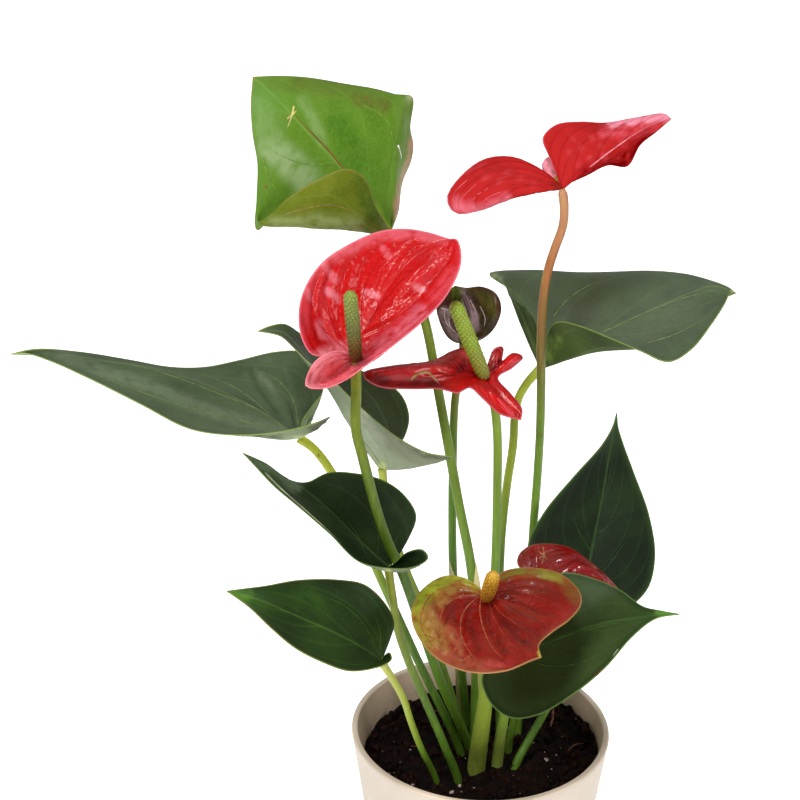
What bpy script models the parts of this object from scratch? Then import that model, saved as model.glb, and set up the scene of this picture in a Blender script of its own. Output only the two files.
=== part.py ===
"""Potted anthurium in flower: a round pot of soil, eight leaves, five red spathes and a young rolled one.

Real size in metres, with the pot's underside centred on the origin and +Z up. The leaves, spathes and stalks follow
outlines read from one photograph, so their points are given as pixels of that photograph with a depth.
"""

import math

import bmesh
import bpy
import numpy as np
from mathutils import Vector
from mathutils.bvhtree import BVHTree

# The pot and its soil, in metres. The soil rises towards +X by SOIL_SLOPE.
POT_HEIGHT = 0.115
RIM_RADIUS = 0.0625
FOOT_RADIUS = 0.047
WALL = 0.0031
FLOOR = 0.004
RIM_ROUNDING = 0.0010
SOIL_HEIGHT = 0.101
SOIL_SLOPE = 0.07
SOIL_LUMPS = 0.0012
SOIL_EDGE_BEVEL = 0.0008

# The plant, in metres. A stalk goes HOLE_DEPTH into the soil.
BLADE_THICKNESS = 0.0008
HOLE_DEPTH = 0.014

# Neighbouring pieces keep these gaps, in metres: under a blade, round a stalk in its hole, and between soil and pot.
SEAT_GAP = 0.00035
HOLE_GAP = 0.00035
SIDE_GAP = 0.0004
SEAT_SEARCH_STEP = 0.0001
CUTTER_HEADROOM = 0.016

# The first ribs of a blade fan out of its base into the lobe, until the margin reaches LOBE_SHARE of the midrib's
# length. The others leave the midrib at stations that crowd towards the base by STATION_POWER.
LOBE_SHARE = 0.12
STATION_POWER = 1.25

# A spadix, as shares of its radius or length: it is narrower at its foot, its florets stand out, its tip is round.
SPADIX_FOOT = 0.90
SPADIX_RELIEF = 0.06
SPADIX_TIP_LENGTH = 0.16
SPADIX_TIP_WIDTH = 0.22

# How finely each shape is divided.
POT_SIDES = 60
SOIL_SIDES = 32
SOIL_RINGS = 7
LOBE_RIBS = 6
BODY_RIBS = 12
RIB_STEPS = 3
FOLDED_STEPS = 5
STALK_SIDES = 10
STALK_RINGS = 12
SPADIX_SIDES = 10
SPADIX_RINGS = 14
CURVE_STEPS = 16
CURVE_POINTS = 400

# The photograph's camera, found from the pot's round rim. Pixels count from the photograph's top left corner.
CAMERA_PLACE = np.array([-0.0389, -0.5255, POT_HEIGHT + 0.3485])
CAMERA_TILT = math.radians(19.06)
FOCAL_PIXELS = 1250.0
PICTURE_CENTRE = 400.0

# Every outline point is (pixel across, pixel down, depth): the depth is the point's Y in millimetres, with the
# pot's axis at 0 and nearer points negative. "base" is where the stalk meets the blade. "spine" runs along the
# midrib to the tip. "left" and "right" run along the margin from the sinus, where the two lobes part, towards the
# tip, seen from above with the tip ahead. "fold_left" and "fold_right" run between spine and margin where a half
# is folded. "sag" is how far each half's ribs bend away from straight, as a share of their length.
LEAVES = {
    "leaf_1": dict(
        base=(391, 231, 15),
        spine=[(368, 200, 8), (341, 168, 8), (310, 135, 12), (280, 102, 17), (253, 77, 20)],
        left=[(384, 221, 2), (374, 203, -10), (364, 178, -18), (345, 169, -24), (318, 180, -26), (285, 201, -24),
              (257, 230, -14), (257, 200, -4), (258, 165, 4), (253, 135, 10), (251, 105, 15)],
        fold_left=[(380, 233, 2), (345, 227, -12), (300, 227, -16), (268, 222, -10), (272, 180, 0), (262, 120, 12)],
        right=[(398, 212, 24), (402, 183, 32), (411, 160, 36), (413, 145, 37), (410, 128, 38), (412, 97, 36),
               (398, 95, 36), (375, 89, 35), (345, 84, 32), (310, 78, 28), (280, 76, 24)],
        fold_right=[(396, 205, 14), (395, 165, 16), (392, 130, 20), (370, 112, 22), (335, 100, 22), (290, 88, 21)],
        face=(0, -1, 0.25), sag=(0, 0)),
    "leaf_2": dict(
        base=(299, 438, -5),
        spine=[(283, 427, -4), (262, 412, -2), (235, 397, 0), (200, 382, 1), (150, 368, 0), (80, 357, -5), (10, 354, -10)],
        left=[(306, 432, -14), (318, 423, -24), (330, 417, -34), (312, 424, -42), (285, 431, -45), (240, 435, -45),
              (190, 429, -38), (140, 404, -30), (90, 379, -22), (50, 361, -14), (24, 353, -10)],
        right=[(301, 427, 6), (303, 419, 14), (312, 406, 26), (323, 390, 38), (318, 368, 50), (300, 352, 54),
               (275, 352, 52), (240, 360, 46), (205, 367, 38), (170, 367, 28), (130, 360, 17), (80, 352, 4), (35, 349, -8)],
        face=(0, -0.4, 0.9), sag=(0.10, 0.10)),
    "leaf_3": dict(
        base=(382, 469, -5),
        spine=[(371, 454, -7), (352, 427, -8), (330, 390, -6), (313, 367, -2), (300, 350, 2), (284, 333, 6), (258, 331, 4)],
        left=[(390, 466, -9), (408, 460, -14), (432, 459, -20), (453, 457, -26), (428, 453, -27), (400, 439, -25),
              (375, 420, -24), (355, 402, -21), (330, 378, -16), (308, 362, -10), (294, 348, -4), (280, 336, 2)],
        right=[(390, 462, 2), (398, 447, 10), (406, 433, 16), (409, 416, 21), (402, 396, 25), (383, 380, 27),
               (362, 371, 27), (338, 360, 25), (315, 346, 21), (298, 332, 16), (284, 324, 11), (270, 326, 7)],
        face=(0.2, -0.3, 0.9), sag=(0.06, 0.10)),
    "leaf_4": dict(
        base=(541, 368, 20),
        spine=[(565, 353, 18), (603, 333, 16), (640, 315, 15), (680, 297, 15), (714, 286, 15), (736, 293, 12)],
        left=[(541, 345, 26), (538, 318, 30), (524, 300, 34), (508, 288, 39), (489, 274, 45), (515, 271, 50),
              (560, 273, 54), (610, 272, 53), (650, 271, 48), (685, 274, 40), (712, 281, 30), (728, 287, 19)],
        fold_left=[(538, 350, 20), (524, 322, 24), (512, 298, 30), (548, 290, 36), (620, 289, 34), (690, 283, 28)],
        right=[(546, 352, 14), (547, 335, 8), (557, 322, -2), (580, 326, -14), (610, 338, -22), (640, 351, -26),
               (668, 362, -26), (692, 349, -20), (711, 325, -12), (724, 305, -3), (730, 293, 6)],
        fold_right=[(556, 356, 8), (590, 350, -6), (630, 349, -14), (660, 340, -12), (690, 320, -3), (715, 300, 6)],
        face=(0, -0.3, 0.95), sag=(0, 0)),
    "leaf_5": dict(
        base=(388, 567, -52),
        spine=[(376, 556, -51), (355, 535, -49), (332, 512, -49), (305, 490, -51), (272, 469, -56), (243, 453, -60)],
        left=[(395, 563, -57), (408, 552, -64), (423, 550, -69), (428, 558, -72), (414, 567, -75), (385, 568, -76),
              (358, 561, -75), (330, 534, -73), (300, 508, -70), (275, 487, -66), (255, 466, -62)],
        right=[(387, 557, -45), (397, 546, -37), (411, 532, -33), (416, 515, -29), (403, 494, -25), (382, 480, -24),
               (352, 473, -24), (328, 473, -27), (308, 482, -33), (290, 480, -42), (265, 463, -54)],
        face=(0, -0.4, 0.9), sag=(0.10, 0.12)),
    "leaf_6": dict(
        base=(381, 661, -66),
        spine=[(362, 648, -69), (335, 633, -73), (300, 617, -77), (262, 601, -82), (227, 591, -86)],
        left=[(385, 655, -71), (390, 653, -76), (391, 660, -81), (378, 667, -86), (350, 671, -90), (322, 662, -93),
              (295, 648, -94), (272, 629, -94), (250, 608, -91)],
        right=[(384, 652, -60), (389, 641, -55), (394, 622, -51), (384, 602, -49), (365, 585, -48), (340, 580, -51),
               (300, 580, -58), (265, 586, -69), (242, 589, -79)],
        face=(0, -0.4, 0.9), sag=(0.06, 0.06)),
    "leaf_7": dict(
        base=(516, 656, -50),
        spine=[(540, 645, -50), (565, 635, -51), (600, 624, -54), (640, 617, -60), (679, 614, -66)],
        left=[(514, 638, -45), (509, 622, -40), (517, 603, -35), (536, 586, -32), (562, 573, -30), (592, 578, -33),
              (620, 590, -39), (642, 606, -50), (662, 611, -60)],
        right=[(505, 660, -54), (490, 664, -60), (482, 680, -66), (492, 705, -72), (512, 718, -75), (540, 714, -75),
               (575, 693, -74), (605, 668, -73), (632, 637, -70), (655, 619, -67)],
        face=(0, -0.6, 0.8), sag=(0.05, 0.05)),
    "leaf_8": dict(
        base=(585, 582, 7),
        spine=[(591, 555, 8), (597, 525, 9), (603, 492, 11), (609, 455, 14), (617, 413, 17)],
        left=[(579, 595, 5), (562, 602, 4), (540, 592, 3), (528, 566, 2), (529, 541, 2), (545, 511, 4),
              (575, 475, 7), (601, 446, 11), (612, 428, 15)],
        right=[(592, 598, 9), (608, 610, 11), (630, 606, 14), (648, 588, 16), (655, 556, 18), (649, 515, 19),
               (634, 473, 18), (623, 443, 17), (618, 426, 17)],
        face=(0, -1, 0.15), sag=(0.05, 0.05)),
}

SPATHES = {
    "flower_1": dict(
        base=(356, 360, -42),
        spine=[(364, 335, -37), (378, 305, -31), (397, 276, -25), (422, 252, -19), (449, 239, -15)],
        left=[(345, 353, -46), (328, 356, -50), (312, 354, -52), (302, 338, -50), (299, 312, -45), (305, 288, -38),
              (322, 263, -31), (348, 245, -24), (378, 232, -18), (405, 229, -14), (430, 233, -13)],
        right=[(335, 351, -54), (317, 360, -60), (308, 374, -64), (306, 386, -66), (325, 388, -66), (345, 380, -64),
               (365, 366, -60), (395, 344, -54), (425, 319, -46), (448, 293, -36), (461, 262, -26), (457, 240, -18)],
        face=(0.1, -0.8, 0.6), sag=(0.10, 0.16)),
    "flower_2": dict(
        base=(562, 189, 0),
        spine=[(575, 179, 1), (597, 163, 3), (625, 143, 6), (650, 128, 9), (671, 119, 12)],
        left=[(552, 178, 8), (536, 167, 16), (512, 157, 22), (485, 159, 22), (462, 175, 18), (447, 198, 12),
              (455, 213, 8), (482, 210, 8), (515, 196, 12), (550, 190, 20), (585, 176, 28), (608, 165, 32),
              (627, 166, 33), (640, 145, 28), (656, 132, 20)],
        right=[(557, 176, 5), (549, 156, 12), (543, 138, 18), (556, 125, 22), (580, 122, 25), (605, 123, 25),
               (635, 118, 22), (664, 114, 16)],
        face=(0.1, 0.6, 0.8), sag=(-0.06, -0.10)),
    "flower_3": dict(
        base=(484, 378, -8),
        spine=[(492, 386, -12), (502, 398, -17), (512, 410, -21), (521, 420, -24)],
        left=[(474, 366, -4), (466, 349, 0), (452, 351, -3), (437, 359, -7), (410, 365, -13), (385, 367, -20),
              (362, 374, -26), (377, 386, -28), (410, 389, -26), (440, 389, -24), (457, 393, -24), (470, 388, -20),
              (483, 399, -22), (500, 414, -25)],
        right=[(489, 362, -4), (494, 349, 0), (503, 347, 2), (502, 362, 0), (513, 353, 3), (523, 357, 4),
               (512, 368, -1), (498, 378, -8), (511, 394, -15), (522, 409, -21)],
        face=(0, -0.5, 0.85), sag=(-0.10, -0.05)),
    "flower_4": dict(
        base=(487, 597, -62),
        spine=[(495, 608, -71), (508, 625, -84), (524, 642, -97), (541, 657, -108)],
        left=[(493, 583, -52), (505, 571, -44), (530, 568, -43), (558, 573, -47), (577, 588, -57), (581, 604, -70),
              (570, 619, -81), (552, 632, -91), (539, 645, -100)],
        right=[(478, 587, -55), (464, 578, -50), (445, 576, -50), (424, 588, -57), (412, 609, -70), (417, 634, -86),
               (438, 659, -102), (470, 672, -111), (505, 671, -113), (530, 661, -111)],
        face=(0, -0.5, 0.85), sag=(0.05, 0.05)),
    "flower_5": dict(
        base=(533, 583, -20),
        spine=[(550, 573, -24), (572, 573, -27), (597, 581, -28), (617, 588, -28)],
        left=[(527, 573, -16), (518, 565, -12), (519, 555, -8), (530, 546, -6), (550, 544, -7), (570, 548, -10),
              (590, 562, -16), (606, 576, -23)],
        right=[(526, 587, -22), (520, 596, -26), (530, 604, -30), (555, 605, -34), (585, 601, -34), (607, 594, -30)],
        face=(0, -0.5, 0.85), sag=(-0.12, -0.10)),
    "bud": dict(
        base=(464, 343, 12),
        spine=[(461, 330, 18), (458, 315, 22), (455, 300, 22), (455, 286, 17)],
        left=[(455, 342, 10), (447, 336, 8), (440, 322, 7), (437, 307, 7), (444, 295, 10)],
        right=[(473, 342, 10), (485, 337, 7), (496, 325, 5), (501, 308, 5), (496, 294, 8), (482, 287, 12), (467, 288, 15)],
        face=(0, -0.9, 0.4), sag=(-0.15, -0.18)),
}


# Each stalk runs from its blade down to the soil. The last point is where it enters the soil, so it has no depth.
# The radii, in millimetres, are at the top, at the soil and under it.
STALKS = {
    "leaf_1_petiole": dict(
        points=[(391, 231, 15), (404, 262, 14), (425, 322, 12), (438, 390, 8), (458, 500, 3), (472, 575, 2), (476, 672, 5)],
        soil=(474, 742), radii=(2.0, 2.5)),
    "leaf_2_petiole": dict(
        points=[(299, 438, -5), (314, 449, -6), (332, 473, -8), (355, 520, -12), (376, 568, -14), (413, 650, -13)],
        soil=(462, 757), radii=(1.9, 2.0)),
    "leaf_3_petiole": dict(
        points=[(382, 469, -5), (384, 485, -6), (392, 530, -10), (408, 575, -12), (421, 605, -11), (440, 660, -8)],
        soil=(462, 738), radii=(1.7, 2.0)),
    "leaf_4_petiole": dict(
        points=[(541, 368, 20), (528, 382, 17), (519, 397, 15), (515, 415, 13), (513, 445, 12), (507, 485, 11),
                (502, 530, 10), (500, 565, 9), (498, 640, 9)],
        soil=(500, 738), radii=(1.9, 2.1)),
    "leaf_5_petiole": dict(
        points=[(388, 567, -52), (393, 600, -48), (397, 627, -45), (408, 660, -41), (425, 700, -36), (445, 747, -31)],
        soil=(458, 781), radii=(1.7, 2.0)),
    "leaf_6_petiole": dict(
        points=[(381, 661, -66), (392, 678, -61), (403, 698, -54), (411, 722, -46), (421, 748, -38)],
        soil=(437, 783), radii=(1.6, 1.8)),
    "leaf_7_petiole": dict(
        points=[(516, 656, -50), (512, 680, -42), (505, 710, -31)],
        soil=(497, 764), radii=(1.8, 2.6)),
    "leaf_8_petiole": dict(
        points=[(585, 582, 7), (583, 595, 12), (577, 630, 13), (560, 682, 4), (542, 717, -6)],
        soil=(515, 767), radii=(1.8, 2.0)),
    "flower_1_peduncle": dict(
        points=[(356, 360, -42), (356, 390, -46), (356, 430, -50), (362, 455, -52), (378, 515, -52), (390, 548, -51),
                (398, 563, -50), (405, 580, -47), (418, 618, -38), (440, 680, -22)],
        soil=(470, 752), radii=(2.1, 2.3)),
    "flower_2_peduncle": dict(
        points=[(562, 189, 0), (564, 205, -1), (563, 225, -2), (555, 248, -3), (548, 270, -4), (543, 300, -4),
                (541, 340, -4), (541, 380, -3), (540, 430, 1), (537, 480, 7), (533, 530, 12), (529, 600, 13)],
        soil=(517, 736), radii=(1.9, 2.0)),
    "flower_3_peduncle": dict(
        points=[(484, 378, -8), (493, 400, -5), (497, 430, -4), (497, 500, -3), (495, 570, -2), (490, 650, 1)],
        soil=(486, 742), radii=(2.0, 2.0)),
    "flower_4_peduncle": dict(
        points=[(487, 597, -62), (487, 640, -53), (486, 690, -39)],
        soil=(476, 770), radii=(2.2, 4.6)),
    "flower_5_peduncle": dict(
        points=[(533, 583, -20), (530, 620, -15), (521, 680, -6)],
        soil=(508, 752), radii=(1.6, 1.8)),
    "bud_stalk": dict(
        points=[(464, 343, 12), (460, 370, 15), (455, 400, 16), (453, 450, 16), (453, 570, 15), (462, 675, 17)],
        soil=(466, 724), radii=(1.8, 2.2)),
}

# The spadix stands on the spathe: from where it starts to where it ends, with its radius in millimetres.
SPADICES = {
    "flower_1": dict(start=(356, 358, -43), end=(350, 289, -66), radius=3.0),
    "flower_2": dict(start=(561, 186, 2), end=(549, 160, 42), radius=2.8),
    "flower_3": dict(start=(484, 376, -9), end=(454, 303, -26), radius=2.9),
    "flower_4": dict(start=(487, 596, -63), end=(494, 570, -73), radius=3.2),
    "flower_5": dict(start=(533, 583, -20), end=(524, 575, -38), radius=2.3),
}

# Dry sheaths that stand between the stalks: tip, then points down to the soil.
SHEATHS = {
    "sheath_1": dict(points=[(449, 561, 26), (454, 580, 26), (458, 640, 26)], soil=(460, 718), radii=(0.7, 1.5)),
    "sheath_2": dict(points=[(476, 560, -10), (479, 585, -10), (481, 650, -9)], soil=(484, 752), radii=(0.7, 1.5)),
}

# Plain colours: red, green, blue, then roughness.
COLOURS = {
    "ceramic": (0.76, 0.68, 0.60, 0.75),
    "soil": (0.020, 0.012, 0.010, 0.95),
    "leaf_green": (0.05, 0.13, 0.035, 0.40),
    "young_leaf_green": (0.15, 0.30, 0.05, 0.40),
    "stalk_green": (0.22, 0.36, 0.05, 0.45),
    "spathe_red": (0.60, 0.01, 0.012, 0.25),
    "spathe_two_tone": (0.45, 0.10, 0.04, 0.30),
    "spadix_yellow": (0.42, 0.42, 0.06, 0.60),
    "bud_bronze": (0.09, 0.05, 0.025, 0.35),
    "sheath_straw": (0.45, 0.42, 0.16, 0.80),
}


def viewing_direction(pixel_x, pixel_y):
    """The way from the camera through a pixel."""
    ahead = np.array([0, math.cos(CAMERA_TILT), -math.sin(CAMERA_TILT)])
    upward = np.array([0, math.sin(CAMERA_TILT), math.cos(CAMERA_TILT)])
    way = ahead + upward * (PICTURE_CENTRE - pixel_y) / FOCAL_PIXELS
    way[0] = (pixel_x - PICTURE_CENTRE) / FOCAL_PIXELS
    return way


def on_ray(pixel_x, pixel_y, depth):
    """The point, in metres, seen at a pixel at this depth in millimetres."""
    way = viewing_direction(pixel_x, pixel_y)
    return CAMERA_PLACE + way * (depth / 1000 - CAMERA_PLACE[1]) / way[1]


def on_level(pixel_x, pixel_y, height):
    """The point, in metres, seen at a pixel at this height."""
    way = viewing_direction(pixel_x, pixel_y)
    return CAMERA_PLACE + way * (height - CAMERA_PLACE[2]) / way[2]


def outline(points):
    return np.array([on_ray(*p) for p in points])


def at_share(curve, share, along=None):
    """The points at these shares, 0 to 1, of a curve's length. Without along, its points are evenly spaced."""
    if along is None:
        along = np.linspace(0, 1, len(curve))
    return np.stack([np.interp(share, along, curve[:, k]) for k in range(3)], -1)


def smooth_curve(points):
    """CURVE_POINTS points, evenly spaced, along a smooth curve through the given points."""
    p = np.asarray(points, float)
    ends = np.vstack([2 * p[0] - p[1], p, 2 * p[-1] - p[-2]])
    s = np.linspace(0, 1, CURVE_STEPS, endpoint=False)[:, None]
    pieces = []
    for a, b, c, d in zip(ends[:-3], ends[1:-2], ends[2:-1], ends[3:]):
        before = np.linalg.norm(b - a) ** 0.5
        here = np.linalg.norm(c - b) ** 0.5
        after = np.linalg.norm(d - c) ** 0.5
        leave = here * ((b - a) / before - (c - a) / (before + here) + (c - b) / here)
        arrive = here * ((c - b) / here - (d - b) / (here + after) + (d - c) / after)
        pieces.append((2 * s**3 - 3 * s**2 + 1) * b + (s**3 - 2 * s**2 + s) * leave
                      + (3 * s**2 - 2 * s**3) * c + (s**3 - s**2) * arrive)
    fine = np.vstack([*pieces, p[-1:]])
    along = np.concatenate([[0], np.cumsum(np.linalg.norm(np.diff(fine, axis=0), axis=1))])
    return at_share(fine, np.linspace(0, 1, CURVE_POINTS), along / along[-1])


def circle(sides):
    """The cosine and sine, as columns, of evenly spaced angles once round."""
    angles = np.linspace(0, 2 * math.pi, sides, endpoint=False)[:, None]
    return np.cos(angles), np.sin(angles)


def half_grid(blade, side, steps):
    """Points of half a blade, [rib, step], from the midrib out to the margin. Both halves share the midrib's points."""
    base = on_ray(*blade["base"])
    spine = smooth_curve([base, *outline(blade["spine"])])
    tip = spine[-1]
    margin = smooth_curve([base, *outline(blade[side]), tip])
    axis = (tip - base) / np.dot(tip - base, tip - base)
    lobe_end = np.max(np.nonzero((margin - base) @ axis < LOBE_SHARE)[0]) / (CURVE_POINTS - 1)
    along = np.append(np.linspace(0, lobe_end, LOBE_RIBS, endpoint=False), np.linspace(lobe_end, 1, BODY_RIBS))
    stations = np.append(np.zeros(LOBE_RIBS), np.linspace(0, 1, BODY_RIBS) ** STATION_POWER)
    start = at_share(spine, stations)[:, None]
    end = at_share(margin, along)[:, None]
    if "fold_" + side in blade:
        fold = smooth_curve([base, *outline(blade["fold_" + side]), tip])
        middle = at_share(fold, along)[:, None]
    else:
        face = np.array(blade["face"]) / np.linalg.norm(blade["face"])
        sag = blade["sag"][0 if side == "left" else 1]
        middle = (start + end) / 2 - face * sag * np.linalg.norm(end - start, axis=-1, keepdims=True)
    u = np.linspace(0, 1, steps + 1)[None, :, None]
    return start * (1 - u) * (1 - 2 * u) + middle * 4 * u * (1 - u) + end * u * (2 * u - 1)


def blade_surface(blade):
    """Vertices, triangles and margin loop of a blade's middle surface."""
    points, triangles = [], []
    spine_index, rims = {}, {}
    steps = FOLDED_STEPS if "fold_right" in blade else RIB_STEPS
    for side in ("left", "right"):
        grid = half_grid(blade, side, steps)
        last = len(grid) - 1
        index = np.zeros(grid.shape[:2], int)
        for rib in range(last + 1):
            station = max(0, rib - LOBE_RIBS)
            for step in range(steps + 1):
                on_spine = rib == 0 or rib == last or step == 0
                if on_spine and station in spine_index:
                    index[rib, step] = spine_index[station]
                    continue
                index[rib, step] = len(points)
                points.append(grid[rib, step])
                if on_spine:
                    spine_index[station] = index[rib, step]
        for rib in range(last):
            for step in range(steps):
                a, b = index[rib, step], index[rib, step + 1]
                c, d = index[rib + 1, step + 1], index[rib + 1, step]
                for triangle in ((a, b, c), (a, c, d)):
                    if len(set(triangle)) == 3:
                        triangles.append(triangle if side == "left" else triangle[::-1])
        rims[side] = list(index[:, -1])
    loop = rims["left"] + rims["right"][-2:0:-1]
    return np.array(points), triangles, loop


def vertex_normals(points, triangles):
    t = np.array(triangles)
    face = np.cross(points[t[:, 1]] - points[t[:, 0]], points[t[:, 2]] - points[t[:, 0]])
    normals = np.zeros_like(points)
    for k in range(3):
        np.add.at(normals, t[:, k], face)
    return normals / np.linalg.norm(normals, axis=1, keepdims=True)


def make_blade(name, blade, material):
    """A thin solid: the middle surface shifted both ways, and a strip round its margin."""
    points, triangles, loop = blade_surface(blade)
    shift = vertex_normals(points, triangles) * BLADE_THICKNESS / 2
    count = len(points)
    faces = [tuple(t) for t in triangles]
    faces += [tuple(v + count for v in t[::-1]) for t in triangles]
    for a, b in zip(loop, loop[1:] + loop[:1]):
        faces += [(b, a, a + count), (b, a + count, b + count)]
    return make_object(name, np.vstack([points + shift, points - shift]), faces, material)


def tube_rings(centres, radii):
    """Rings of a round tube along the centres, without twist."""
    tangents = np.gradient(centres, axis=0)
    tangents /= np.linalg.norm(tangents, axis=1, keepdims=True)
    across = np.cross(tangents[0], (0, 1, 0))
    cosine, sine = circle(STALK_SIDES)
    rings = []
    for centre, radius, tangent in zip(centres, radii, tangents):
        across = across - tangent * np.dot(across, tangent)
        across /= np.linalg.norm(across)
        rings.append(centre + radius * (cosine * across + sine * np.cross(tangent, across)))
    return rings


def tube_faces(rings, sides):
    """Faces of a tube whose points are its rings, then the middles of its two ends."""
    faces = []
    first, last = rings * sides, rings * sides + 1
    for k in range(sides):
        following = (k + 1) % sides
        for ring in range(0, (rings - 1) * sides, sides):
            faces.append((ring + k, ring + following, ring + following + sides, ring + k + sides))
        faces.append((following, k, first))
        faces.append(((rings - 1) * sides + k, (rings - 1) * sides + following, last))
    return faces


def make_tube(name, centres, radii, material):
    rings = tube_rings(centres, radii)
    faces = tube_faces(len(rings), STALK_SIDES)
    return make_object(name, np.vstack([*rings, centres[:1], centres[-1:]]), faces, material)


def make_object(name, points, faces, material):
    """A smooth-shaded solid whose faces point outwards."""
    mesh = bpy.data.meshes.new(name)
    mesh.from_pydata([tuple(p) for p in points], [], faces)
    work = bmesh.new()
    work.from_mesh(mesh)
    bmesh.ops.recalc_face_normals(work, faces=work.faces)
    if work.calc_volume(signed=True) < 0:
        bmesh.ops.reverse_faces(work, faces=work.faces)
    for face in work.faces:
        face.smooth = True
    work.to_mesh(mesh)
    work.free()
    mesh.materials.append(material)
    made = bpy.data.objects.new(name, mesh)
    bpy.context.scene.collection.objects.link(made)
    return made


def make_material(name, red, green, blue, roughness):
    material = bpy.data.materials.new(name)
    material.use_nodes = True
    shader = material.node_tree.nodes["Principled BSDF"]
    shader.inputs["Base Color"].default_value = (red, green, blue, 1)
    shader.inputs["Roughness"].default_value = roughness
    return material


def tree_of(made):
    """The object's faces, for measuring distances to it."""
    return BVHTree.FromPolygons([v.co[:] for v in made.data.vertices], [p.vertices[:] for p in made.data.polygons])


def clearance(points, tree):
    return min(tree.find_nearest(Vector(p))[3] for p in points)


def top_samples(centres, radii):
    """Points all over the first two spans of a tube, and the middle of its end."""
    rings = tube_rings(centres, radii)
    shares = np.linspace(0, 1, 21)[:, None, None]
    spans = [upper + (lower - upper) * shares for upper, lower in zip(rings[:2], rings[1:3])]
    return np.vstack([np.reshape(spans, (-1, 3)), centres[:1]])


def seated_shares(centres, radii_at, tree):
    """Where a stalk's rings stand on its middle line, with its top cut off SEAT_GAP short of the blade."""
    length = np.sum(np.linalg.norm(np.diff(centres, axis=0), axis=1))
    cut = 0.0
    shares = np.linspace(cut, 1, STALK_RINGS)
    while clearance(top_samples(at_share(centres, shares), radii_at(shares)), tree) < SEAT_GAP:
        cut += SEAT_SEARCH_STEP / length
        shares = np.linspace(cut, 1, STALK_RINGS)
    return shares


def soil_height(x, y):
    """The soil's top, with lumps about 10 to 20 mm across."""
    lumps = math.sin(x * 310 + 1.3) * math.cos(y * 270 + 0.4) + 0.6 * math.sin(x * 530 - y * 610)
    return SOIL_HEIGHT + SOIL_SLOPE * x + SOIL_LUMPS * lumps


def soil_point(pixel_x, pixel_y):
    """The point of the soil's top that is seen at a pixel."""
    place = on_level(pixel_x, pixel_y, SOIL_HEIGHT)
    for _ in range(4):
        place = on_level(pixel_x, pixel_y, soil_height(place[0], place[1]))
    return place


def stalk_centres(stalk):
    """The stalk's middle line, from its top to its foot under the soil, where it turns steeply down."""
    top = outline(stalk["points"])
    entry = soil_point(*stalk["soil"])
    way = (entry - top[-1]) / np.linalg.norm(entry - top[-1]) + (0, 0, -3)
    foot = entry + way / np.linalg.norm(way) * HOLE_DEPTH
    return smooth_curve([*top, entry, foot])


def make_stalk(name, stalk, material, tree=None):
    """The stalk, seated under its blade if it carries one. Returns the cutter of its hole in the soil."""
    line = stalk_centres(stalk)

    def radii_at(shares):
        return np.interp(shares, (0, 1), stalk["radii"]) / 1000

    shares = seated_shares(line, radii_at, tree) if tree else np.linspace(0, 1, STALK_RINGS)
    centres, radii = at_share(line, shares), radii_at(shares)
    make_tube(name, centres, radii, material)
    return make_hole_cutter(name, centres, radii, material)


def make_hole_cutter(name, centres, radii, material):
    """The stalk's own shape, wider by the gap, from just above the soil to just under its foot."""
    last_step = centres[-1] - centres[-2]
    past_foot = centres[-1] + last_step / np.linalg.norm(last_step) * SEAT_GAP
    in_soil = centres[:, 2] < SOIL_HEIGHT + CUTTER_HEADROOM
    first = max(0, int(np.argmax(in_soil)) - 1)
    line = np.vstack([centres[first:-1], past_foot])
    cutter = make_tube("cutter_" + name, line, radii[first:] + HOLE_GAP, material)
    cutter.hide_render = True
    cutter.display_type = "WIRE"
    return cutter


def make_spadix(name, spadix, material, tree):
    """A rounded club with rows of raised florets, standing SEAT_GAP off its spathe."""
    start, end = on_ray(*spadix["start"]), on_ray(*spadix["end"])
    way = (end - start) / np.linalg.norm(end - start)
    across = np.cross(way, (0, 1, 0.3))
    across /= np.linalg.norm(across)
    cosine, sine = circle(SPADIX_SIDES)
    circumference = cosine * across + sine * np.cross(way, across)
    radius = spadix["radius"] / 1000
    foot = radius * SPADIX_FOOT
    while clearance([start, *(start + foot * circumference)], tree) < SEAT_GAP:
        start = start + way * SEAT_SEARCH_STEP
    points = []
    for ring in range(SPADIX_RINGS):
        share = ring / (SPADIX_RINGS - 1)
        share = 0.65 * share + 0.35 * (0.5 - 0.5 * math.cos(share * math.pi))
        belly = SPADIX_FOOT + (1 - SPADIX_FOOT) * math.sin(share * math.pi)
        tip = math.sqrt(min(1, (1 - share) / SPADIX_TIP_LENGTH))
        width = radius * max(SPADIX_TIP_WIDTH, belly * tip)
        relief = SPADIX_RELIEF if 0 < ring < SPADIX_RINGS - 1 else 0
        raised = 1 + relief * (-1.0) ** (ring + 1 + np.arange(SPADIX_SIDES)[:, None])
        points.extend(start + (end - start) * share + width * raised * circumference)
    faces = tube_faces(SPADIX_RINGS, SPADIX_SIDES)
    make_object(name, [*points, start, end], faces, material)


def turned(profile, sides):
    """Points of a solid turned round the Z axis from (radius, height) points: its rings, then the middle of its
    bottom and of its top."""
    cosine, sine = circle(sides)
    rings = [np.hstack([radius * cosine, radius * sine, np.full_like(cosine, height)]) for radius, height in profile]
    return np.vstack([*rings, [[0, 0, profile[0][1]]], [[0, 0, profile[-1][1]]]])


def wall_radius(height):
    """The pot's outside radius at a height."""
    return FOOT_RADIUS + (RIM_RADIUS - FOOT_RADIUS) * height / POT_HEIGHT


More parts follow.
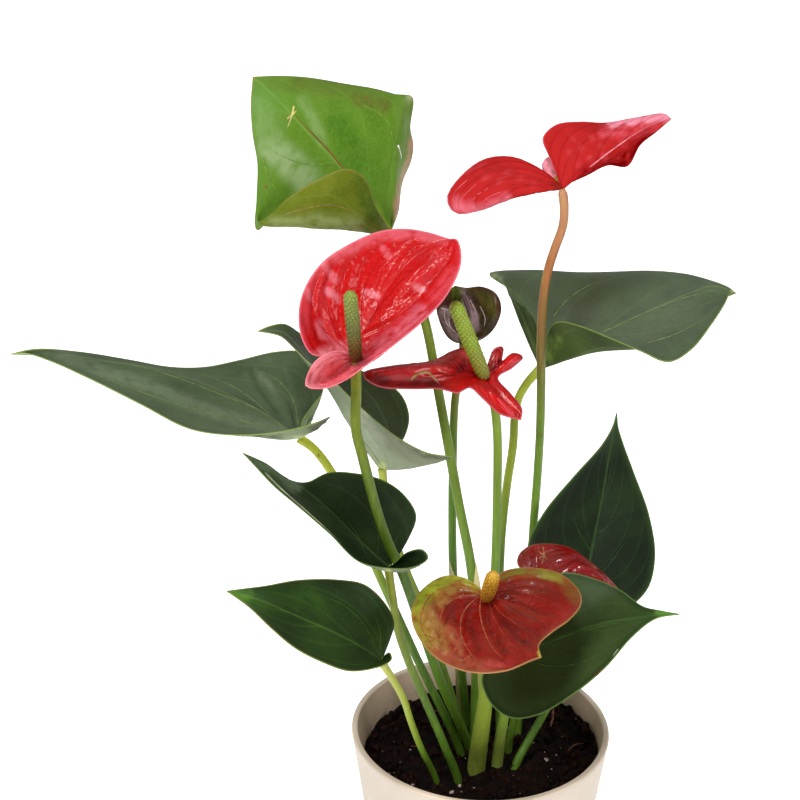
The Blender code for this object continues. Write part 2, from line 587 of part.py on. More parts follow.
def make_pot(material):
    """Up the outside from the underside, over the rounded rim and down the inside to the floor."""
    r, corner = RIM_ROUNDING, 0.3 * RIM_ROUNDING
    top, half = POT_HEIGHT, POT_HEIGHT / 2
    inner = RIM_RADIUS - WALL
    profile = [(FOOT_RADIUS - r, 0), (FOOT_RADIUS, r), (wall_radius(half), half), (wall_radius(top - r), top - r),
               (RIM_RADIUS - corner, top - corner), (RIM_RADIUS - r, top), (inner + r, top),
               (inner + corner, top - corner), (inner, top - r), (wall_radius(half) - WALL, half),
               (wall_radius(FLOOR) - WALL, FLOOR)]
    make_object("pot", turned(profile, POT_SIDES), tube_faces(len(profile), POT_SIDES), material)


def make_soil(material):
    """The soil fills the pot, and its top is lumpy."""
    bottom, half = FLOOR + SEAT_GAP, SOIL_HEIGHT / 2
    profile = [(wall_radius(height) - WALL - SIDE_GAP, height) for height in (bottom, half)]
    edge = wall_radius(SOIL_HEIGHT) - WALL - SIDE_GAP - SOIL_EDGE_BEVEL
    profile += [(edge * ring / SOIL_RINGS, SOIL_HEIGHT) for ring in range(SOIL_RINGS, 0, -1)]
    points = turned(profile, SOIL_SIDES)
    for point in [*points[2 * SOIL_SIDES:-2], points[-1]]:
        point[2] = soil_height(point[0], point[1])
    return make_object("soil", points, tube_faces(len(profile), SOIL_SIDES), material)


def cut_holes(soil, cutters):
    for cutter in cutters:
        hole = soil.modifiers.new("hole_" + cutter.name, "BOOLEAN")
        hole.operation = "DIFFERENCE"
        hole.solver = "EXACT"
        hole.object = cutter


def make_leaves(materials):
    for name, leaf in LEAVES.items():
        blade = make_blade(name + "_blade", leaf, materials["young_leaf_green" if name == "leaf_1" else "leaf_green"])
        stalk = name + "_petiole"
        yield make_stalk(stalk, STALKS[stalk], materials["stalk_green"], tree_of(blade))


def make_flowers(materials):
    colours = {"flower_4": "spathe_two_tone", "bud": "bud_bronze"}
    for name, shape in SPATHES.items():
        spathe = make_blade(name + "_spathe", shape, materials[colours.get(name, "spathe_red")])
        tree = tree_of(spathe)
        if name in SPADICES:
            make_spadix(name + "_spadix", SPADICES[name], materials["spadix_yellow"], tree)
        stalk = name + ("_stalk" if name == "bud" else "_peduncle")
        yield make_stalk(stalk, STALKS[stalk], materials["stalk_green"], tree)


def main():
    for old in list(bpy.data.objects):
        bpy.data.objects.remove(old)
    materials = {name: make_material(name, *values) for name, values in COLOURS.items()}
    make_pot(materials["ceramic"])
    soil = make_soil(materials["soil"])
    cutters = [*make_leaves(materials), *make_flowers(materials)]
    cutters += [make_stalk(name, sheath, materials["sheath_straw"]) for name, sheath in SHEATHS.items()]
    cut_holes(soil, cutters)


main()
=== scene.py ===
"""Looks of the potted anthurium: veined leaves, glossy spathes, bumpy spadices, crumbly soil and a matt pot.

The leaves, spathes and stalks follow the same outline points as the solids, divided far more finely. Points
are given as pixels of the photograph with a depth, and the camera turns them into metres.
"""

import math
import random

import bmesh
import bpy
import numpy as np
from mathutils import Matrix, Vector, noise
from mathutils.bvhtree import BVHTree


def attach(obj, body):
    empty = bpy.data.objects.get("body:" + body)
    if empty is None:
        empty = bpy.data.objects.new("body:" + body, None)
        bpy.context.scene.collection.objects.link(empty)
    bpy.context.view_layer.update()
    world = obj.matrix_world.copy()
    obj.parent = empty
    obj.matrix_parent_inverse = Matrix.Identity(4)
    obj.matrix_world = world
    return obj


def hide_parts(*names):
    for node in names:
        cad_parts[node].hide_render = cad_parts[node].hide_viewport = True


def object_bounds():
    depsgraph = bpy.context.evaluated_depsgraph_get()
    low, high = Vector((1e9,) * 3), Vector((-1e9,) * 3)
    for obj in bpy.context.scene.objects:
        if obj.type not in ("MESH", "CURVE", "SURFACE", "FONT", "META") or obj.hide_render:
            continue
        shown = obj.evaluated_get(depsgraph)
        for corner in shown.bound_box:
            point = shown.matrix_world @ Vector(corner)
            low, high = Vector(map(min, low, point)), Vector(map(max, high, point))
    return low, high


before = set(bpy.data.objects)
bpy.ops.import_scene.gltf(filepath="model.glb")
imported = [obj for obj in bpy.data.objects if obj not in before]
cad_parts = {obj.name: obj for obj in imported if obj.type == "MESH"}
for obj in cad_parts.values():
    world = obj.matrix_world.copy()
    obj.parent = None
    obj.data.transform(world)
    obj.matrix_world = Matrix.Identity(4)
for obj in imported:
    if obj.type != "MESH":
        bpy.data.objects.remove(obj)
SOLID_BOX = [list(corner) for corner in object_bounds()]

# Every piece stays this far inside the solids' box, in metres.
BOX_MARGIN = 0.00001

# These keep a division away from zero.
TINY = 1e-12
TINY_AREA = 1e-18

# The pot and its soil, in metres, as in the solids.
POT_HEIGHT = 0.115
RIM_RADIUS = 0.0625
FOOT_RADIUS = 0.047
WALL = 0.0031
FLOOR = 0.004
RIM_ROUNDING = 0.0010
SOIL_HEIGHT = 0.101
SOIL_SLOPE = 0.07
SOIL_LUMPS = 0.0012
SIDE_GAP = 0.0004
HOLE_DEPTH = 0.014

# Real thicknesses, in metres. A sheath's is a share of its width.
LEAF_THICKNESS = 0.00045
SPATHE_THICKNESS = 0.00055
SHEATH_WIDTH = 0.0017
SHEATH_FLATNESS = 0.22

# The photograph's camera. Pixels count from the photograph's top left corner.
CAMERA_PLACE = np.array([-0.0389, -0.5255, POT_HEIGHT + 0.3485])
CAMERA_TILT = math.radians(19.06)
FOCAL_PIXELS = 1250.0
PICTURE_CENTRE = 400.0
PICTURE_WIDTH = 800.0
SENSOR_MM = 36.0

# How finely each shape is divided. Of a smooth curve's CURVE_POINTS points a laid line takes one in
# LINE_SKIP and a strand one in STRAND_SKIP. A spadix has a ring of points every SPADIX_RING metres.
LOBE_RIBS = 36
BODY_RIBS = 100
RIB_STEPS = 34
CURVE_STEPS = 16
CURVE_POINTS = 400
STALK_SIDES = 20
STALK_RINGS = 80
SPADIX_SIDES = 96
SPADIX_RING = 0.00022
LINE_SIDES = 6
LINE_SKIP = 7
STRAND_SIDES = 8
STRAND_SKIP = 16
POT_SIDES = 160
WALL_RINGS = 24
SOIL_SIDES = 220
SOIL_RINGS = 80

# The first ribs of a blade fan out of its base into the lobe, until the margin reaches LOBE_SHARE of the
# midrib's length. The others leave the midrib at stations that crowd towards the base by STATION_POWER.
LOBE_SHARE = 0.12
STATION_POWER = 1.25

# The main veins sweep forward from the midrib and then run with the margin: VEIN_REACH is how far forward
# and VEIN_LEAN how sharply they turn. The swellings between them lean forward by SWELLING_LEAN.
VEIN_REACH = 0.35
VEIN_LEAN = 0.9
SWELLING_LEAN = 0.5

# The veins count as at most WIDEST_GAP millimetres apart, and the margin's slant as at least LEAST_SLANT.
WIDEST_GAP = 30
LEAST_SLANT = 0.25

# A blade's relief, each with its height and its reach to the side in millimetres: a vein is a groove above
# and a ridge below, and the midrib is a keel below that tapers by KEEL_TAPER towards the tip.
VEIN_GROOVE = (0.10, 0.9)
VEIN_RIDGE = (0.22, 1.1)
KEEL = (0.8, 1.7)
KEEL_TAPER = 0.8

# The groove above the keel, as a share of it, and the rounded margin's bulge, as a share of the thickness.
MIDRIB_GROOVE = 0.15
RIM_BULGE = 0.35

# From the margin inwards, in millimetres, the relief grows to its full height within these distances.
VEIN_INSET = 6
RIDGE_INSET = 2.5
SWELLING_INSET = (0.5, 5)

# How many swellings there are from one main vein to the next, and how sharp the seams between them are.
SWELLINGS_ACROSS = 2.4
SEAM_SHARPNESS = 1.5

# The size, in metres, of a blade's unevenness and of the mottle in its brush strokes, with the mottle's
# strength.
WAVE_SIZE = 0.022
MOTTLE = ((1.1, 0.0045), (0.7, 0.0018))

# A brush stroke is full within the first share of its radius and gone at the second.
STROKE_SOFTNESS = (0.1, 1.5)

# The upper face turns to the tip's colour beyond this share of the midrib.
TIP_START = 0.7

# What is kept for each point of a blade.
FIELDS = ("arc", "gap", "flow", "edge", "rib", "place", "side")

# A stalk's rings crowd towards its top by RING_POWER. It has low ridges, is a little uneven and swells by
# the share COLLAR under its blade. A flower's stalk narrows there to NECK of its width, and a sheath comes
# to a point. In the soil all turn down by PLUNGE. Its last colour is reached at COLOUR_END of its length.
RING_POWER = 1.15
COLLAR, COLLAR_MM = 0.22, 3.5
STALK_RIDGES = 5
RIDGE_HEIGHT = 0.03
UNEVENNESS, UNEVEN_SIZE = 0.03, 0.02
NECK, NECK_MM = 0.5, 2.5
SHEATH_POINT = (-2, 16)
PLUNGE = 3
COLOUR_END = 0.85

# A spadix's florets, in metres, how far they stand out as a share of its radius, how far astray they sit
# and how wide their seams are as shares of a floret, and the turn from one to the next.
FLORET_SIZE = 0.0017
FLORET_HEIGHT = 0.14
FLORET_STRAY = 0.16
FLORET_SEAM = 0.7
GOLDEN_ANGLE = math.pi * (3 - math.sqrt(5))

# A laid line's height as a share of its width, and how deep it is sunk as a share of its height. It breaks
# where the surface jumps by LINE_JUMP metres, a stretch of fewer than SHORTEST_RUN points is left out, and
# LINE_WIDTHS are its widths at the LINE_STOPS along it.
LINE_FLATNESS = 0.6
LINE_SUNK = 0.2
LINE_JUMP = 0.0042
SHORTEST_RUN = 4
LINE_STOPS = (0, 0.04, 0.6, 1)
LINE_WIDTHS = (0.6, 1, 0.8, 0.15)

# The soil's roughness, in metres, with how many of the features there are in a metre.
CLODS, CLODS_PER_METRE = 0.0007, 260
CRUMBS, CRUMBS_PER_METRE = 0.0010, 520

# Grains strewn on the soil: the name, how many, the smallest and largest size in metres, the material, the
# flatness, and the share of the soil's area, from its middle out, that they leave free.
GRAINS = [
    ("soil_crumbs", 1100, 0.0007, 0.0040, "crumbs", 1.0, 0.0),
    ("soil_chips", 130, 0.0018, 0.0062, "crumbs", 0.35, 0.0),
    ("soil_perlite", 70, 0.0006, 0.0026, "perlite", 0.6, 0.0),
    ("soil_heap", 170, 0.0016, 0.0056, "crumbs", 0.9, 0.87),
]
GRAIN_SHAPES = 6
GRAIN_HEIGHT = 0.22

# Twigs and fibres that lie on the soil: pixels along each, and its radius in metres.
TWIGS = [
    ([(552, 709), (553, 718), (550, 730)], 0.0007),
    ([(404, 744), (414, 748), (422, 746)], 0.0003),
    ([(430, 716), (437, 712), (447, 713)], 0.0003),
    ([(568, 752), (574, 747), (584, 745)], 0.00035),
]
TWIG_LIFT = 0.0006

# Light: the room is brighter behind the plant than in front of it. Each lamp has its name, place, diameter
# in metres and power in watts, and shines at LAMP_TARGET.
ROOM_FRONT = 0.10
ROOM_BACK = 0.42
ROOM_SPAN = (-0.8, 0.6)
FLOOR_GLOW = 0.75
SUN_WAY = (0.15, 0.35, -1.0)
SUN_STRENGTH = 1.5
SUN_ANGLE = math.radians(14)
LAMPS = [
    ("key", (-0.55, -0.95, 1.15), 0.42, 9.5),
    ("side", (0.95, -0.8, 0.8), 0.4, 4),
]
LAMP_TARGET = (0, 0, 0.2)
FLOOR_SIZE = 60.0
FLOOR_DROP = 0.0003
WHITE = (255, 255, 255)

# Colours of 0 to 255, as the eye sees them.
POT_CREAM = (197, 185, 170)
# Painted light: the rim's top is paler than the wall, where it faces up.
RIM_LIT_CREAM = (228, 208, 188)
SOIL_BROWN = (15, 9, 8)
PERLITE_WHITE = (198, 184, 176)
# Painted light: paler than the flap's own pink, standing in for light shining through it in its shade.
FLAP_LIT_PINK = (240, 150, 164)

# Every outline point is (pixel across, pixel down, depth): the depth is the point's Y in millimetres, with
# the pot's axis at 0 and nearer points negative. "base" is where the stalk meets the blade. "spine" runs
# along the midrib to the tip. "left" and "right" run along the margin from the sinus, where the two lobes
# part, towards the tip, seen from above with the tip ahead. "fold_left" and "fold_right" run between spine
# and margin where a half is folded. Elsewhere "sag" is how far each half's ribs bend away from straight, as
# a share of their length, away from the side that "face" points to.
LEAVES = {
    "leaf_1": dict(
        base=(391, 231, 15), face=(0, -1, 0.25), sag=(0, 0),
        spine=[(368, 200, 8), (341, 168, 8), (310, 135, 12), (280, 102, 17), (253, 77, 20)],
        left=[(384, 221, 2), (374, 203, -10), (364, 178, -18), (345, 169, -24), (318, 180, -26),
              (285, 201, -24), (257, 230, -14), (257, 200, -4), (258, 165, 4), (253, 135, 10),
              (251, 105, 15)],
        fold_left=[(380, 233, 2), (345, 227, -12), (300, 227, -16), (268, 222, -10), (272, 180, 0),
                   (262, 120, 12)],
        right=[(398, 212, 24), (402, 183, 32), (411, 160, 36), (413, 145, 37), (410, 128, 38),
               (412, 97, 36), (398, 95, 36), (375, 89, 35), (345, 84, 32), (310, 78, 28), (280, 76, 24)],
        fold_right=[(396, 205, 14), (395, 165, 16), (392, 130, 20), (370, 112, 22), (335, 100, 22),
                    (290, 88, 21)]),
    "leaf_2": dict(
        base=(299, 438, -5), face=(0, -0.4, 0.9), sag=(0.04, 0.10),
        spine=[(283, 427, -4), (262, 412, -2), (235, 397, 0), (200, 382, 1), (150, 368, 0), (80, 357, -5),
               (10, 354, -10)],
        left=[(306, 432, -14), (318, 423, -24), (330, 417, -34), (312, 424, -42), (285, 431, -45),
              (240, 435, -45), (190, 429, -38), (140, 404, -30), (90, 379, -22), (50, 361, -14),
              (24, 353, -10)],
        right=[(301, 427, 6), (303, 419, 14), (312, 406, 26), (323, 390, 38), (318, 368, 50),
               (300, 352, 54), (275, 352, 52), (240, 360, 46), (205, 367, 38), (170, 367, 28),
               (130, 360, 17), (80, 352, 4), (35, 349, -8)]),
    "leaf_3": dict(
        base=(382, 469, -5), face=(0.2, -0.3, 0.9), sag=(0.06, 0.10),
        spine=[(371, 454, -7), (352, 427, -8), (330, 390, -6), (313, 367, -2), (300, 350, 2), (284, 333, 6),
               (258, 331, 4)],
        left=[(390, 466, -9), (408, 460, -14), (432, 459, -20), (453, 457, -26), (428, 453, -27),
              (400, 439, -25), (375, 420, -24), (355, 402, -21), (330, 378, -16), (308, 362, -10),
              (294, 348, -4), (280, 336, 2)],
        right=[(390, 462, 2), (398, 447, 10), (406, 433, 16), (409, 416, 21), (402, 396, 25),
               (383, 380, 27), (362, 371, 27), (338, 360, 25), (315, 346, 21), (298, 332, 16),
               (284, 324, 11), (270, 326, 7)]),
    "leaf_4": dict(
        base=(541, 368, 20), face=(0, -0.3, 0.95), sag=(0, 0),
        spine=[(565, 353, 18), (603, 333, 16), (640, 315, 15), (680, 297, 15), (714, 286, 15),
               (736, 293, 12)],
        left=[(541, 345, 26), (538, 318, 30), (524, 300, 34), (508, 288, 39), (489, 274, 45),
              (515, 271, 50), (560, 273, 54), (610, 272, 53), (650, 271, 48), (685, 274, 40),
              (712, 281, 30), (728, 287, 19)],
        fold_left=[(538, 350, 20), (524, 322, 24), (512, 298, 30), (548, 290, 36), (620, 289, 34),
                   (690, 283, 28)],
        right=[(546, 352, 14), (547, 335, 8), (557, 322, -2), (580, 326, -14), (610, 338, -22),
               (640, 351, -26), (668, 362, -26), (692, 349, -20), (711, 325, -12), (724, 305, -3),
               (730, 293, 6)],
        fold_right=[(556, 356, 8), (590, 350, -6), (630, 349, -14), (660, 340, -12), (690, 320, -3),
                    (715, 300, 6)]),
    "leaf_5": dict(
        base=(388, 567, -52), face=(0, -0.4, 0.9), sag=(0.10, 0.12),
        spine=[(376, 556, -51), (355, 535, -49), (332, 512, -49), (305, 490, -51), (272, 469, -56),
               (243, 453, -60)],
        left=[(395, 563, -57), (408, 552, -64), (423, 550, -69), (428, 558, -72), (414, 567, -75),
              (385, 568, -76), (358, 561, -75), (330, 534, -73), (300, 508, -70), (275, 487, -66),
              (255, 466, -62)],
        right=[(387, 557, -45), (397, 546, -37), (411, 532, -33), (416, 515, -29), (403, 494, -25),
               (382, 480, -24), (352, 473, -24), (328, 473, -27), (308, 482, -33), (290, 480, -42),
               (265, 463, -54)]),
    "leaf_6": dict(
        base=(381, 661, -66), face=(0, -0.4, 0.9), sag=(0.06, 0.06),
        spine=[(362, 648, -69), (335, 633, -73), (300, 617, -77), (262, 601, -82), (227, 591, -86)],
        left=[(385, 655, -71), (390, 653, -76), (391, 660, -81), (378, 667, -86), (350, 671, -90),
              (322, 662, -93), (295, 648, -94), (272, 629, -94), (250, 608, -91)],
        right=[(384, 652, -60), (389, 641, -55), (394, 622, -51), (384, 602, -49), (365, 585, -48),
               (340, 580, -51), (300, 580, -58), (265, 586, -69), (242, 589, -79)]),
    "leaf_7": dict(
        base=(516, 656, -50), face=(0, -0.6, 0.8), sag=(0.05, 0.05),
        spine=[(540, 645, -50), (565, 635, -51), (600, 624, -54), (640, 617, -60), (679, 614, -66)],
        left=[(514, 638, -45), (509, 622, -40), (517, 603, -35), (536, 586, -32), (562, 573, -30),
              (592, 578, -33), (620, 590, -39), (642, 606, -50), (662, 611, -60)],
        right=[(505, 660, -54), (490, 664, -60), (482, 680, -66), (492, 705, -72), (512, 718, -75),
               (540, 714, -75), (575, 693, -74), (605, 668, -73), (632, 637, -70), (655, 619, -67)]),
    "leaf_8": dict(
        base=(585, 582, 7), face=(0, -1, 0.15), sag=(0.05, 0.05),
        spine=[(591, 555, 8), (597, 525, 9), (603, 492, 11), (609, 455, 14), (617, 413, 17)],
        left=[(579, 595, 5), (562, 602, 4), (540, 592, 3), (528, 566, 2), (529, 541, 2), (545, 511, 4),
              (575, 475, 7), (601, 446, 11), (612, 428, 15)],
        right=[(592, 598, 9), (608, 610, 11), (630, 606, 14), (648, 588, 16), (655, 556, 18),
               (649, 515, 19), (634, 473, 18), (623, 443, 17), (618, 426, 17)]),
}

SPATHES = {
    "flower_1": dict(
        base=(356, 360, -42), face=(0.1, -0.8, 0.6), sag=(0.10, 0.16),
        spine=[(364, 335, -37), (378, 305, -31), (397, 276, -25), (422, 252, -19), (449, 239, -15)],
        left=[(345, 353, -46), (328, 356, -50), (312, 354, -52), (302, 338, -50), (299, 312, -45),
              (305, 288, -38), (322, 263, -31), (348, 245, -24), (378, 232, -18), (405, 229, -14),
              (430, 233, -13)],
        right=[(335, 351, -54), (317, 360, -60), (308, 374, -64), (306, 386, -66), (325, 388, -66),
               (345, 380, -64), (365, 366, -60), (395, 344, -54), (425, 319, -46), (448, 293, -36),
               (461, 262, -26), (457, 240, -18)]),
    "flower_2": dict(
        base=(562, 189, 0), face=(0.1, 0.6, 0.8), sag=(-0.06, -0.10),
        spine=[(575, 179, 1), (597, 163, 3), (625, 143, 6), (650, 128, 9), (671, 119, 12)],
        left=[(552, 178, 8), (536, 167, 16), (512, 157, 22), (485, 159, 22), (462, 175, 18), (447, 198, 12),
              (455, 213, 8), (482, 210, 8), (515, 196, 12), (550, 190, 20), (585, 176, 28), (608, 165, 32),
              (627, 166, 33), (640, 145, 28), (656, 132, 20)],
        right=[(557, 176, 5), (549, 156, 12), (543, 138, 18), (556, 125, 22), (580, 122, 25),
               (605, 123, 25), (635, 118, 22), (664, 114, 16)]),
    "flower_3": dict(
        base=(484, 378, -8), face=(0, -0.5, 0.85), sag=(-0.05, -0.10),
        spine=[(492, 386, -12), (502, 398, -17), (512, 410, -21), (521, 420, -24)],
        left=[(489, 362, -4), (494, 349, 0), (503, 347, 2), (502, 362, 0), (513, 353, 3), (523, 357, 4),
              (512, 368, -1), (498, 378, -8), (511, 394, -15), (522, 409, -21)],
        right=[(474, 366, -4), (466, 349, 0), (452, 351, -3), (437, 359, -7), (410, 365, -13),
               (385, 367, -20), (362, 374, -26), (377, 386, -28), (410, 389, -26), (440, 389, -24),
               (457, 393, -24), (470, 388, -20), (483, 399, -22), (500, 414, -25)]),
    "flower_4": dict(
        base=(487, 597, -62), face=(0, -0.5, 0.85), sag=(0.05, 0.05),
        spine=[(495, 608, -71), (508, 625, -84), (524, 642, -97), (541, 657, -108)],
        left=[(493, 583, -52), (505, 571, -44), (530, 568, -43), (558, 573, -47), (577, 588, -57),
              (581, 604, -70), (570, 619, -81), (552, 632, -91), (539, 645, -100)],
        right=[(478, 587, -55), (464, 578, -50), (445, 576, -50), (424, 588, -57), (412, 609, -70),
               (417, 634, -86), (438, 659, -102), (470, 672, -111), (505, 671, -113), (530, 661, -111)]),
    "flower_5": dict(
        base=(533, 583, -20), face=(0, -0.5, 0.85), sag=(-0.12, -0.10),
        spine=[(550, 573, -24), (572, 573, -27), (597, 581, -28), (617, 588, -28)],
        left=[(527, 573, -16), (518, 565, -12), (519, 555, -8), (530, 546, -6), (550, 544, -7),
              (570, 548, -10), (590, 562, -16), (606, 576, -23)],
        right=[(526, 587, -22), (520, 596, -26), (530, 604, -30), (555, 605, -34), (585, 601, -34),
               (607, 594, -30)]),
    "bud": dict(
        base=(464, 343, 12), face=(0, -0.9, 0.4), sag=(-0.15, -0.18),
        spine=[(461, 330, 18), (458, 315, 22), (455, 300, 22), (455, 286, 17)],
        left=[(455, 342, 10), (447, 336, 8), (440, 322, 7), (437, 307, 7), (444, 295, 10)],
        right=[(473, 342, 10), (485, 337, 7), (496, 325, 5), (501, 308, 5), (496, 294, 8), (482, 287, 12),
               (467, 288, 15)]),
}

# Each stalk runs from its blade's base, through its points, down to where it enters the soil, which is a
# pixel without a depth. The radii, in millimetres, are at its top and at its foot under the soil. Its
# colours are evenly spaced from the blade down to the soil.
STALKS = {
    "leaf_1_petiole": dict(
        points=[(404, 262, 14), (425, 322, 12), (438, 390, 8), (458, 500, 3), (472, 575, 2), (476, 672, 5)],
        soil=(474, 742), radii=(2.0, 2.5),
        colours=[(128, 150, 50), (122, 146, 48), (96, 126, 40), (80, 114, 34)]),
    "leaf_2_petiole": dict(
        points=[(314, 449, -6), (332, 473, -8), (355, 520, -12), (376, 568, -14), (413, 650, -13)],
        soil=(462, 757), radii=(1.9, 2.0),
        colours=[(164, 173, 49), (158, 169, 45), (101, 130, 36), (76, 113, 32), (79, 117, 34)]),
    "leaf_3_petiole": dict(
        points=[(384, 485, -6), (392, 530, -10), (408, 575, -12), (421, 605, -11), (440, 660, -8)],
        soil=(462, 738), radii=(1.7, 2.0),
        colours=[(178, 184, 83), (135, 153, 49), (94, 124, 38), (79, 113, 34)]),
    "leaf_4_petiole": dict(
        points=[(528, 382, 17), (519, 397, 15), (515, 415, 13), (513, 445, 12), (507, 485, 11),
                (502, 530, 10), (500, 565, 9), (498, 640, 9)],
        soil=(500, 738), radii=(1.9, 2.1),
        colours=[(158, 169, 49), (153, 166, 49), (101, 133, 38), (83, 117, 34), (83, 117, 34)]),
    "leaf_5_petiole": dict(
        points=[(393, 600, -48), (397, 627, -45), (408, 660, -41), (425, 700, -36), (445, 747, -31)],
        soil=(458, 781), radii=(1.7, 2.0),
        colours=[(138, 144, 40), (108, 126, 32), (80, 114, 30), (76, 112, 30)]),
    "leaf_6_petiole": dict(
        points=[(392, 678, -61), (403, 698, -54), (411, 722, -46), (421, 748, -38)],
        soil=(437, 783), radii=(1.6, 1.4),
        colours=[(170, 176, 78), (152, 160, 56), (130, 146, 44), (92, 126, 32), (84, 120, 32)]),
    "leaf_7_petiole": dict(
        points=[(512, 680, -42), (505, 710, -31)],
        soil=(497, 764), radii=(1.8, 2.9),
        colours=[(108, 137, 49), (112, 139, 49), (135, 153, 65)]),
    "leaf_8_petiole": dict(
        points=[(583, 595, 12), (577, 630, 13), (560, 682, 4), (542, 717, -6)],
        soil=(515, 767), radii=(1.8, 2.0),
        colours=[(95, 128, 41), (79, 115, 34), (81, 117, 34)]),
    "flower_1_peduncle": dict(
        points=[(356, 390, -46), (356, 430, -50), (362, 455, -52), (378, 515, -52), (390, 548, -51),
                (398, 563, -50), (405, 580, -47), (418, 618, -38), (440, 680, -22)],
        soil=(470, 752), radii=(2.1, 2.3),
        colours=[(122, 134, 36), (86, 106, 28), (66, 98, 22), (74, 108, 28), (77, 110, 28)]),
    "flower_2_peduncle": dict(
        points=[(564, 205, -1), (563, 225, -2), (555, 248, -3), (548, 270, -4), (543, 300, -4),
                (541, 340, -4), (541, 380, -3), (540, 430, 1), (537, 480, 7), (533, 530, 12),
                (529, 600, 13)],
        soil=(517, 736), radii=(1.9, 2.0),
        colours=[(185, 126, 96), (154, 96, 52), (100, 78, 30), (92, 122, 32), (98, 134, 34), (95, 128, 34),
                 (86, 119, 32), (83, 117, 32)]),
    "flower_3_peduncle": dict(
        points=[(493, 400, -5), (497, 430, -4), (497, 500, -3), (495, 570, -2), (490, 650, 1)],
        soil=(486, 742), radii=(2.0, 2.0),
        colours=[(131, 155, 47), (106, 135, 40), (94, 128, 38), (83, 121, 36)]),
    "flower_4_peduncle": dict(
        points=[(487, 640, -53), (486, 690, -39)],
        soil=(476, 770), radii=(2.2, 4.6),
        colours=[(96, 128, 32), (106, 130, 36), (120, 136, 44), (128, 140, 56)]),
    "flower_5_peduncle": dict(
        points=[(530, 620, -15), (521, 680, -6)],
        soil=(508, 752), radii=(1.6, 1.8),
        colours=[(112, 137, 49), (95, 128, 41), (95, 128, 41)]),
    "bud_stalk": dict(
        points=[(460, 370, 15), (455, 400, 16), (453, 450, 16), (453, 570, 15), (462, 675, 17)],
        soil=(466, 724), radii=(1.8, 2.2),
        colours=[(135, 99, 50), (96, 128, 34), (86, 124, 34), (84, 120, 34), (81, 115, 34)]),
}

# Dry sheaths that stand between the stalks, in the same way, from their own tips.
SHEATHS = {
    "sheath_1": dict(
        points=[(449, 560, 10.5), (453, 578, 10.5), (457, 640, 18)],
        soil=(460, 718),
        colours=[(206, 200, 154), (186, 182, 126), (150, 150, 90)]),
    "sheath_2": dict(
        points=[(476, 560, -10), (477, 585, -10), (480, 650, -9)],
        soil=(484, 752),
        colours=[(196, 184, 136), (166, 158, 100), (140, 140, 80)]),
}

# The spadix stands on the spathe: from where it starts to where it ends, with its radius in millimetres,
# and its colours at the foot, in the middle and at the tip.
SPADICES = {
    "flower_1": dict(start=(356, 358, -43), end=(350, 292, -66), radius=3.0,
                     colours=[(104, 78, 32), (78, 92, 28), (120, 136, 40)]),
    "flower_2": dict(start=(560, 182, 8), end=(549, 160, 42), radius=2.7,
                     colours=[(196, 170, 60), (190, 176, 60), (186, 180, 60)]),
    "flower_3": dict(start=(484, 376, -9), end=(454, 302, -26), radius=3.45,
                     colours=[(124, 116, 26), (132, 156, 26), (142, 168, 40)]),
    "flower_4": dict(start=(486.3, 598.8, -62.1), end=(494, 573, -72), radius=3.2,
                     colours=[(186, 104, 26), (206, 150, 30), (210, 160, 34)]),
    "flower_5": dict(start=(533, 583, -20), end=(524, 575, -38), radius=2.3,
                     colours=[(196, 130, 40), (206, 160, 44), (214, 172, 50)]),
}

# The turned-up margin that half hides flower_2's spadix.
SINUS_FLAP = [(556, 187, 8), (552, 180, 11), (549, 170, 14), (547, 157, 17)]

# How each blade looks. "upper" and "under" are the colours of its two faces, "tip" and "edge" are what the
# upper one turns to at the tip and towards the margin, within "edge_mm" millimetres, "vein" is its veins'
# colour and "line" the thin line's round its margin. "vein_share", "net" and "midrib" are how strongly the
# main veins, the fine net and the midrib are coloured. "veins" are where the main veins leave the midrib,
# as shares of its length beyond the lobes (below 0 they leave the base into the lobe). "quilt" is how far
# the surface swells between the veins and "wave" how uneven it is, in millimetres, "cells" how many
# swellings there are along the blade, and "pucker" how strong the fine creases between the veins are.
# "gloss" is its roughness (low is glossy), "shine" and "under_shine" how strongly its two faces reflect,
# and "coat" how strong the clear coat on the upper one is.
DARK_LEAF = dict(
    upper=(35, 52, 26), under=(118, 136, 96), vein=(84, 116, 56), vein_share=0.16, line=(104, 130, 66),
    tip=(46, 70, 34), edge=(36, 52, 26), edge_mm=4, veins=(-0.48, -0.1, 0.27), quilt=0.14, cells=16,
    wave=0.3, gloss=0.38, shine=0.14, coat=0.0, net=0.06, midrib=0.35, pucker=0.0, under_shine=0.06)
# Its greyish green is partly the leaf's own colour, partly painted reflection of the bright room at grazing
# angles.
GREY_SHEEN_LEAF = dict(
    DARK_LEAF, upper=(70, 86, 58), under=(140, 154, 118), vein=(128, 144, 98), vein_share=0.18,
    line=(146, 166, 74), tip=(74, 90, 60), edge=(66, 82, 54), gloss=0.42, shine=0.26)
# A red spathe's pink edge is partly its own margin colour, partly painted sheen where the margin curves away.
RED_SPATHE = dict(
    upper=(198, 8, 10), under=(186, 22, 26), vein=(140, 4, 8), vein_share=0.45, line=(226, 120, 132),
    tip=(196, 14, 20), edge=(206, 54, 68), edge_mm=4, veins=(-0.75, -0.5, -0.28, -0.06, 0.16, 0.40),
    quilt=0.8, cells=24, wave=0.5, gloss=0.22, shine=0.2, coat=0.15, net=0.05, midrib=0.3, pucker=1.2,
    under_shine=0.1)
